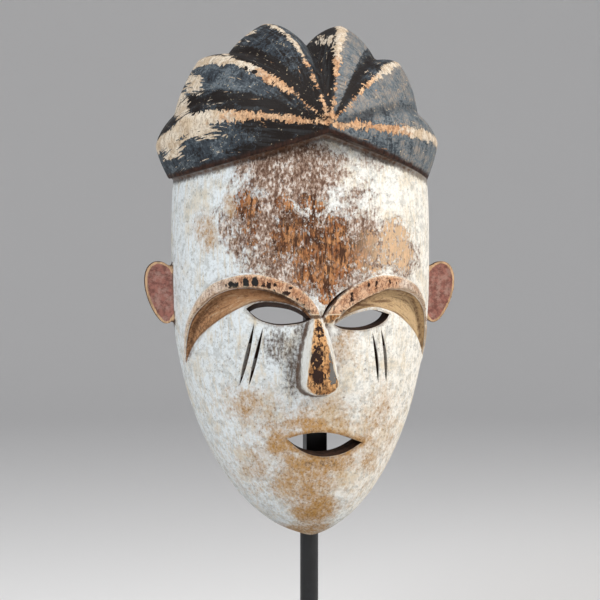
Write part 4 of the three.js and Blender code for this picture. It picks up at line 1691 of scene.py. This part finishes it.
@dataclass(frozen=True)
class MaskFinish:
    """All of the mask's surface, from the bare wood up."""

    wood: BareWood = BareWood()
    crest_inner: BareWood = BareWood("#d8b18b", "#c1926a", "#5c3a26", 40.0, 2.5, 0.5)
    crest_outer: BareWood = BareWood("#dccfbc", "#c9b59b", "#75583f", 44.0, 2.5, 0.4)
    band_wood: BareWood = BareWood("#d6b090", "#bc8c68", "#5e3426", 61.0, 2.0, 0.6)
    band_end: BareWood = BareWood("#dccbbb", "#c2a68e", "#6d4c3c", 67.0, 2.5, 0.5)
    nose_wood: BareWood = BareWood("#cc9b68", "#a97647", "#3d2618", 71.0, 4.0, 0.75)
    clay: WhiteClay = WhiteClay()
    thin: ThinClay = ThinClay()
    paint: HeaddressPaint = HeaddressPaint()
    wood_light: str = "#e0c09c"
    ochre: str = "#ad8248"
    ochre_deep: str = "#6f4e2c"
    dark_patch: str = "#4f4137"
    # Dark brown at the headdress's border: partly a real line, partly painted shade on the lip and the
    # painted shadow it casts on the forehead
    border: str = "#2e1a11"
    socket_brown: str = "#b1855f"
    socket_olive: str = "#c2a67e"
    # Dark brown: the sockets' strokes and rests, and painted shade along their edges, in creases and round
    # the openings
    socket_dark: str = "#5a3d29"
    socket_pale: str = "#c7ab8a"
    paint_rest: str = "#22201f"
    nose_rest: str = "#2b1912"
    nose_grey: str = "#67635f"
    nose_pale: str = "#d9d5cc"
    # Painted shade for the crease at the nose's foot
    crease: str = "#4c392c"
    ear_pink: str = "#8a5c52"
    ear_dust: str = "#b09084"
    ear_rim: str = "#bd9a78"
    # Painted shade on the ears' stems and sides
    ear_stem_shade: str = "#4a3324"
    hollow_brown: str = "#4a3222"
    # Dark brown of cut wood, also used as painted shade in cuts and small hollows
    cut_brown_and_shade: str = "#2c1a11"
    worn_edge: str = "#dfcdb1"

    def material(self) -> bpy.types.Material:
        """Builds the material."""
        material = bpy.data.materials.new("mask_wood")
        graph = Dresser(material)
        coat = self.face(graph)
        coat = self.brows(graph, coat)
        coat = self.nose(graph, coat)
        coat = self.edges(graph, coat)
        coat = self.headdress(graph, coat)
        coat = self.ears(graph, coat)
        coat = self.cuts(graph, coat)
        # Painted shade in small hollows: darker brown where the coat's bump sinks lowest
        coat = graph.tinted(coat, graph.ramp(coat.height, -0.3, -0.5, 0.0, 0.6), self.cut_brown_and_shade)
        painted = graph.ramp("fan", -0.4, 0.4)
        graph.finish(coat, graph.blend(painted, 0.74, 0.58), 1.0)
        return material

    def face(self, graph: Dresser) -> Coat:
        """The clay and where it is thin, rubbed off, stained or darkened, and a painted shadow below the
        headdress's lip.
        """
        coat = self.clay.coat(graph)
        thinned = graph.ragged("thinned", 1.5, 0.38, 0.86, 11.0, 51.0, 1.1)
        coat = graph.lay(coat, self.thin.coat(graph), thinned)
        x, _ = graph.across_and_up()
        wood = self.wood.coat(graph)
        wood = graph.tinted(wood, graph.ramp(x, 14.0, 48.0, 0.0, 0.72), self.wood_light)
        scorched = graph.ragged("scorched", 1.1, 0.3, 1.0, 6.0, 56.0, 1.6)
        wood = graph.tinted(wood, scorched * 0.8, self.wood.dark)
        bare = graph.ragged("rubbed", 1.7, 0.5, 0.8, 9.0, 53.0, 1.8)
        stuck = graph.noise(2.4, 4.0, 0.68, 0.0, (1.0, 1.0, 2.0), shift=54.0)
        bare = bare * graph.ramp(stuck, 0.66, 0.54, 0.25, 1.0)
        coat = graph.lay(coat, wood, bare)
        around = graph.ramp("opening", -9.0, -0.5, 0.0, 0.95)
        _, z = graph.across_and_up()
        at_mouth = around * graph.ramp(z, 215.0, 195.0)
        amount = graph.math("MAXIMUM", "stained", at_mouth)
        stained = graph.ragged(amount, 1.3, 0.1, 1.2, 10.0, 55.0, 1.0)
        coat = graph.tinted(coat, stained, self.ochre)
        grains = graph.noise(1.5, 4.0, 0.72, shift=58.0)
        grains = graph.ramp(grains, 0.52, 0.64) * graph.ramp(stained, 0.1, 0.7)
        coat = graph.tinted(coat, grains * 0.55, self.ochre_deep)
        # Grey-brown darkening in the listed patches
        smudged = graph.ragged("smudged", 1.2, 0.25, 1.4, 5.0, 57.0, 2.2)
        coat = graph.tinted(coat, smudged * 0.95, self.dark_patch)
        # Painted shadow: a dark band on the forehead just below the headdress's overhanging lip
        low = graph.ramp("fan", -9.0, -0.5)
        under = graph.ragged(low, 0.9, 0.45, 0.85, 5.0, 59.0, 0.8)
        return graph.tinted(coat, under * 0.7, self.border)

    def brows(self, graph: Dresser, coat: Coat) -> Coat:
        """The brown sockets and the rubbed bands with rests of dark paint, with painted shade along the
        sockets' edges.
        """
        x, z = graph.across_and_up()
        right = graph.ramp(x, -5.0, 5.0)
        flow = graph.combine(graph.measure("socket") * 2.6, x * 0.3, z * 0.3)
        strokes = graph.noise(3.6, 6.0, 0.7, 0.2, vector=flow)
        fine = graph.noise(1.8, 4.0, 0.7, shift=62.0)
        colour = graph.stained(
            graph.mix(right, self.socket_brown, self.socket_olive),
            (strokes, 0.52, 0.68, 0.7, self.socket_dark), (strokes, 0.48, 0.36, 0.7, self.socket_pale),
            (fine, 0.52, 0.7, 0.45, self.socket_dark),
        )
        left_end = graph.ramp(x, -52.0, -72.0) * graph.ramp(fine, 0.44, 0.58)
        colour = graph.mix(left_end * 0.55, colour, self.socket_dark)
        # Painted shade along the socket's edges, under the band and in the crease at the cheek, stronger on
        # the left
        rim = graph.ramp("socket", 1.6, 0.3)
        colour = graph.mix(rim * graph.blend(right, 0.55, 0.35), colour, self.socket_dark)
        socket = Coat(colour, strokes * 0.5 + fine * 0.2)
        streak = graph.ragged("smudged", 0.8, 0.35, 0.9, 4.0, 60.0, 0.8)
        socket = graph.tinted(socket, streak * 0.7, self.socket_dark)
        coat = graph.lay(coat, socket, graph.ramp("socket", -0.1, 0.5))

        outwards = graph.ramp(graph.math("ABSOLUTE", x), 44.0, 66.0)
        ends = graph.ragged(outwards, 0.6, 0.35, 0.65, 6.0, 64.0, 0.5)
        band = graph.lay(self.band_wood.coat(graph), self.band_end.coat(graph), ends)
        rest = graph.ragged("painted", 1.2, 0.42, 0.6, 2.2, 63.0, 1.8)
        hatch = graph.noise(1.5, 3.0, 0.6, 0.0, (1.0, 1.0, 3.5), shift=65.0)
        rest = graph.math("MAXIMUM", rest, graph.ramp(hatch, 0.62, 0.7, 0.0, 0.8))
        inner = graph.ramp(x, -36.0, -40.0)
        dark = graph.mix(inner, self.nose_rest, self.paint_rest)
        band = graph.lay(band, Coat(dark, 0.3), rest)
        upper = graph.ramp("band", 1.8, 0.4) * graph.ramp(fine, 0.44, 0.56)
        band = graph.tinted(band, upper * 0.5, self.worn_edge)
        return graph.lay(coat, band, graph.ramp("band", -0.2, 0.4))

    def nose(self, graph: Dresser, coat: Coat) -> Coat:
        """The nose: a rubbed front with dark rests, a white left side, and painted shade in the crease at its
        foot.
        """
        rest = graph.ragged("painted", 1.3, 0.42, 0.62, 2.2, 73.0, 3.0)
        front = graph.lay(self.nose_wood.coat(graph), Coat(self.nose_rest, 0.3), rest)
        greyed = graph.ragged("greyed", 1.2, 0.5, 0.66, 3.0, 75.0, 1.6)
        front = graph.lay(front, Coat(self.nose_grey, 0.3), greyed)
        on_front = graph.measure("nose_front")
        arris = graph.ramp(on_front, 0.05, 0.6) * graph.ramp(on_front, 0.98, 0.7)
        side = graph.tinted(coat, graph.measure("nose_left") * 0.6, self.nose_pale)
        coat = graph.lay(side, front, on_front)
        coat = graph.tinted(coat, arris * 0.75, self.worn_edge)
        # Painted shade in the crease where the nose meets the face, weaker on the right
        x, _ = graph.across_and_up()
        foot = graph.math("ABSOLUTE", "nose_foot")
        near = graph.ramp(foot, 2.6, 0.2) + graph.ramp(x, 6.0, 0.0, -0.45, 0.0)
        crease = graph.ragged(near, 0.8, 0.35, 1.0, 3.0, 76.0, 0.9)
        return graph.tinted(coat, crease * 0.9, self.crease)

    def edges(self, graph: Dresser, coat: Coat) -> Coat:
        """Pale worn edges, and brown in the creases and on the lids that is partly dirt and partly painted
        shade.
        """
        broken = graph.noise(3.0, 5.0, 0.7, shift=77.0)
        # Round the openings' rims: partly dirt, partly painted shade
        lid = graph.ramp("opening", -2.2, -0.2) * graph.ramp(broken, 0.36, 0.56, 0.2, 1.0)
        coat = graph.tinted(coat, lid * 0.6, self.socket_dark)
        edge = graph.ramp("ridge", 0.05, 0.2) * graph.ramp(broken, 0.38, 0.58)
        coat = graph.tinted(coat, edge * 0.6, self.worn_edge)
        # Concave creases: partly dirt, partly painted shade
        crease = graph.ramp("ridge", -0.03, -0.16)
        return graph.tinted(coat, crease * graph.ramp(broken, 0.3, 0.6, 0.45, 0.9), self.socket_dark)

    def headdress(self, graph: Dresser, coat: Coat) -> Coat:
        """The painted pleats with crests rubbed bare and a dark band at the lower border, partly a dark brown
        line and partly painted shade on the lip.
        """
        out = graph.ragged(graph.ramp("fan_out", 0.3, 0.9), 1.2, 0.35, 0.65, 7.0, 78.0, 0.7)
        wood = graph.lay(self.crest_inner.coat(graph), self.crest_outer.coat(graph), out)
        flow = graph.combine("crest_far", "crest_way", 0.0)
        wide = graph.noise(16.0, 3.0, 0.6, shift=79.0)
        edge = graph.noise(4.0, 6.0, 0.72, shift=81.0)
        brushed = graph.noise(1.4, 4.0, 0.66, 0.0, (7.0, 1.0, 1.0), vector=flow, shift=83.0)
        moved = graph.measure("crest_wear") + (wide - 0.5) * 8.0 + (edge - 0.5) * 9.0 + (brushed - 0.5) * 6.0
        flakes = graph.noise(1.8, 5.0, 0.7, 0.3, (1.0, 7.0, 1.0), vector=flow, shift=89.0)
        chalked = graph.ramp(graph.measure("chalked") + (flakes - 0.5) * 3.0, 0.5, 0.58)
        worn = graph.math("MAXIMUM", graph.ramp(moved, -0.25, 0.25), chalked)
        headdress = graph.lay(self.paint.coat(graph), wood._replace(height=wood.height * 0.6), worn)
        knots = graph.ragged("painted", 0.5, 0.45, 0.55, 2.0, 84.0)
        headdress = graph.tinted(headdress, knots, self.paint.black)
        # Painted shade in part: the headdress's lowest few millimetres, over the lip and its underside, turn
        # dark brown
        near = graph.ramp("fan", 6.5, 0.5)
        border = graph.ragged(near, 1.0, 0.3, 0.9, 4.0, 85.0, 0.5)
        headdress = graph.lay(headdress, graph.flat(self.border, 0.5, 87.0), border)
        return graph.lay(coat, headdress, graph.ramp("fan", -0.4, 0.4))

    def ears(self, graph: Dresser, coat: Coat) -> Coat:
        """Pinkish ear faces in a tan rim; the stems and the discs' sides are painted dark brown as shade."""
        # Painted shade: the stems and the discs' sides, behind and beside the faces, turn dark brown
        coat = graph.lay(coat, graph.flat(self.ear_stem_shade, 0.4, 91.0), "ear")
        rim = graph.ragged(graph.ramp("ear_disc", 0.5, 3.4), 0.8, 0.4, 0.6, 3.0, 93.0, 0.4)
        pink = graph.flat(self.ear_pink, 0.32, 95.0, (1.0, 1.0, 1.0), 3.0)
        dust = graph.noise(5.0, 6.0, 0.72, shift=98.0)
        pink = graph.tinted(pink, graph.ramp(dust, 0.46, 0.66, 0.0, 0.6), self.ear_dust)
        face = graph.lay(graph.flat(self.ear_rim, 0.25, 97.0), pink, rim)
        return graph.lay(coat, face, "ear_face")

    def cuts(self, graph: Dresser, coat: Coat) -> Coat:
        """The dark walls of the openings and scars, partly the cut wood's brown and partly painted shade, the
        hollow and the flat back edge.
        """
        # Walls deep in the openings, scars and brow groove: partly the cut wood's brown, partly painted shade
        deep = graph.ramp("below", 0.3, 1.0)
        cut = graph.math("MAXIMUM", "cut", "scar")
        coat = graph.lay(coat, graph.flat(self.cut_brown_and_shade, 0.5, 101.0), deep * cut)
        hollow = graph.flat(self.hollow_brown, 0.55, 103.0, (1.0, 1.0, 8.0), 3.0)
        coat = graph.lay(coat, hollow, "inner")
        back = graph.flat(self.ear_rim, 0.45, 105.0, (1.0, 1.0, 2.0), 5.0)
        return graph.lay(coat, back, "back")


@dataclass(frozen=True)
class BlackSteel:
    """Semi-gloss black paint on steel."""

    black: str = "#0c0d0f"
    worn: str = "#1b1c1f"

    def material(self) -> bpy.types.Material:
        """Builds the material."""
        material = bpy.data.materials.new("stand_black")
        graph = Dresser(material)
        cloud = graph.noise(14.0, 4.0, 0.6)
        peel = graph.noise(0.9, 2.0, 0.5, shift=4.0)
        colour = graph.mix(graph.ramp(cloud, 0.4, 0.7), self.black, self.worn)
        graph.finish(Coat(colour, peel * 0.02), graph.blend(cloud, 0.32, 0.46), 1.0, 0.5)
        return material


@dataclass(frozen=True)
class Lamp:
    """A square soft light. Its place is given round the point that the camera looks at.

    Args:
        name: The light's name.
        azimuth: Its direction, in degrees, 0 in front of the mask and positive to the right.
        elevation: Its height above the horizon, in degrees.
        distance: Its distance, in metres.
        size: The length of its side, in metres.
        power: Its power in watts.
        colour: Its colour.
    """

    name: str
    azimuth: float
    elevation: float
    distance: float
    size: float
    power: float
    colour: tuple[float, float, float]


LAMPS = (
    Lamp("key_left", -48.0, 32.0, 1.5, 0.7, 13.8, (0.93, 0.97, 1.0)),
    Lamp("key_right", 56.0, 30.0, 1.5, 0.6, 17.2, (1.0, 0.97, 0.93)),
    Lamp("top", 10.0, 78.0, 1.3, 0.6, 5.0, (1.0, 1.0, 1.0)),
)


def direction(azimuth: float, elevation: float) -> Vector:
    """The direction from the mask towards an azimuth and an elevation, in degrees: azimuth 0 is in front."""
    turn, rise = math.radians(azimuth), math.radians(elevation)
    return Vector((math.sin(turn) * math.cos(rise), -math.cos(turn) * math.cos(rise), math.sin(rise)))


@dataclass(frozen=True)
class Studio:
    """A pale floor that sweeps up into a pale wall, soft lights and the photo's camera.

    The camera's place is given from the point that it looks at: azimuth 0 looks along +Y.
    """

    aim: tuple[float, float, float] = (-6.0, -12.3, 259.4)
    azimuth: float = -10.0
    elevation: float = 2.0
    distance: float = 1400.0
    mm_per_pixel: float = 0.665
    frame_pixels: int = 600
    sensor: float = 36.0
    floor_radius: float = 3.4
    wall_height: float = 3.2
    sweep: float = 1.4
    sweep_steps: int = 12
    around: int = 96
    floor_colour: tuple[float, float, float, float] = (0.8, 0.79, 0.78, 1.0)
    floor_roughness: float = 0.9
    sky: tuple[float, float, float, float] = (0.9, 0.93, 1.0, 1.0)
    sky_strength: float = 0.35

    def camera(self) -> bpy.types.Object:
        """The camera at the photo's viewing angle."""
        data = bpy.data.cameras.new("camera")
        camera = linked("camera", data)
        back = direction(self.azimuth, self.elevation)
        camera.location = (Vector(self.aim) + back * self.distance) * MM
        camera.rotation_euler = (-back).to_track_quat("-Z", "Y").to_euler()
        data.sensor_width = self.sensor
        data.lens = self.distance / self.mm_per_pixel / self.frame_pixels * self.sensor
        bpy.context.scene.camera = camera
        return camera

    def floor(self) -> bpy.types.Object:
        """The floor and the wall round it, turned from one profile."""
        level = self.floor_radius - self.sweep
        profile = [(level, 0.0)]
        for i in range(1, self.sweep_steps + 1):
            turn = math.pi / 2 * i / self.sweep_steps
            profile.append((level + self.sweep * math.sin(turn), self.sweep * (1 - math.cos(turn))))
        profile.append((self.floor_radius, self.wall_height))
        turns = [2 * math.pi * k / self.around for k in range(self.around)]
        points = [(radius * math.cos(turn), radius * math.sin(turn), height)
                  for radius, height in profile for turn in turns]
        faces = [tuple(range(self.around))]
        for i in range(len(profile) - 1):
            for k in range(self.around):
                here, beside = i * self.around + k, i * self.around + (k + 1) % self.around
                faces.append((here, here + self.around, beside + self.around, beside))
        mesh = bpy.data.meshes.new("floor")
        mesh.from_pydata(points, [], faces)
        mesh.shade_smooth()
        floor = linked("floor", mesh)
        material = bpy.data.materials.new("pale_floor")
        material.use_nodes = True
        shader = material.node_tree.nodes["Principled BSDF"]
        shader.inputs["Base Color"].default_value = self.floor_colour
        shader.inputs["Roughness"].default_value = self.floor_roughness
        mesh.materials.append(material)
        return floor

    def light(self, lamp: Lamp) -> None:
        """Sets up a square soft light that faces the mask."""
        data = bpy.data.lights.new(lamp.name, "AREA")
        data.energy = lamp.power
        data.size = lamp.size
        data.color = lamp.colour
        body = linked(lamp.name, data)
        away = direction(lamp.azimuth, lamp.elevation)
        body.location = Vector(self.aim) * MM + away * lamp.distance
        body.rotation_euler = away.to_track_quat("Z", "Y").to_euler()
        body.visible_camera = False

    def build(self) -> None:
        """Sets up the floor, the lights, the world and the camera."""
        self.floor()
        for lamp in LAMPS:
            self.light(lamp)
        world = bpy.data.worlds.new("studio")
        world.use_nodes = True
        background = world.node_tree.nodes["Background"].inputs
        background["Color"].default_value = self.sky
        background["Strength"].default_value = self.sky_strength
        bpy.context.scene.world = world
        bpy.context.scene.view_settings.view_transform = "Standard"
        self.camera()


def main() -> None:
    """Builds the mask, gives the imported stand its black finish and builds the studio, in order."""
    logging.basicConfig(level=logging.INFO, format="%(message)s")
    mask = Mask().build()
    LOG.info("%s: %d triangles", mask.name, sum(len(face.vertices) - 2 for face in mask.data.polygons))
    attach(mask, "root")
    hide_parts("mask")
    black = BlackSteel().material()
    for name in ("stand_rod", "stand_bracket", "stand_base"):
        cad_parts[name].material_slots[0].material = black
    Studio().build()


if __name__ == "__main__":
    main()
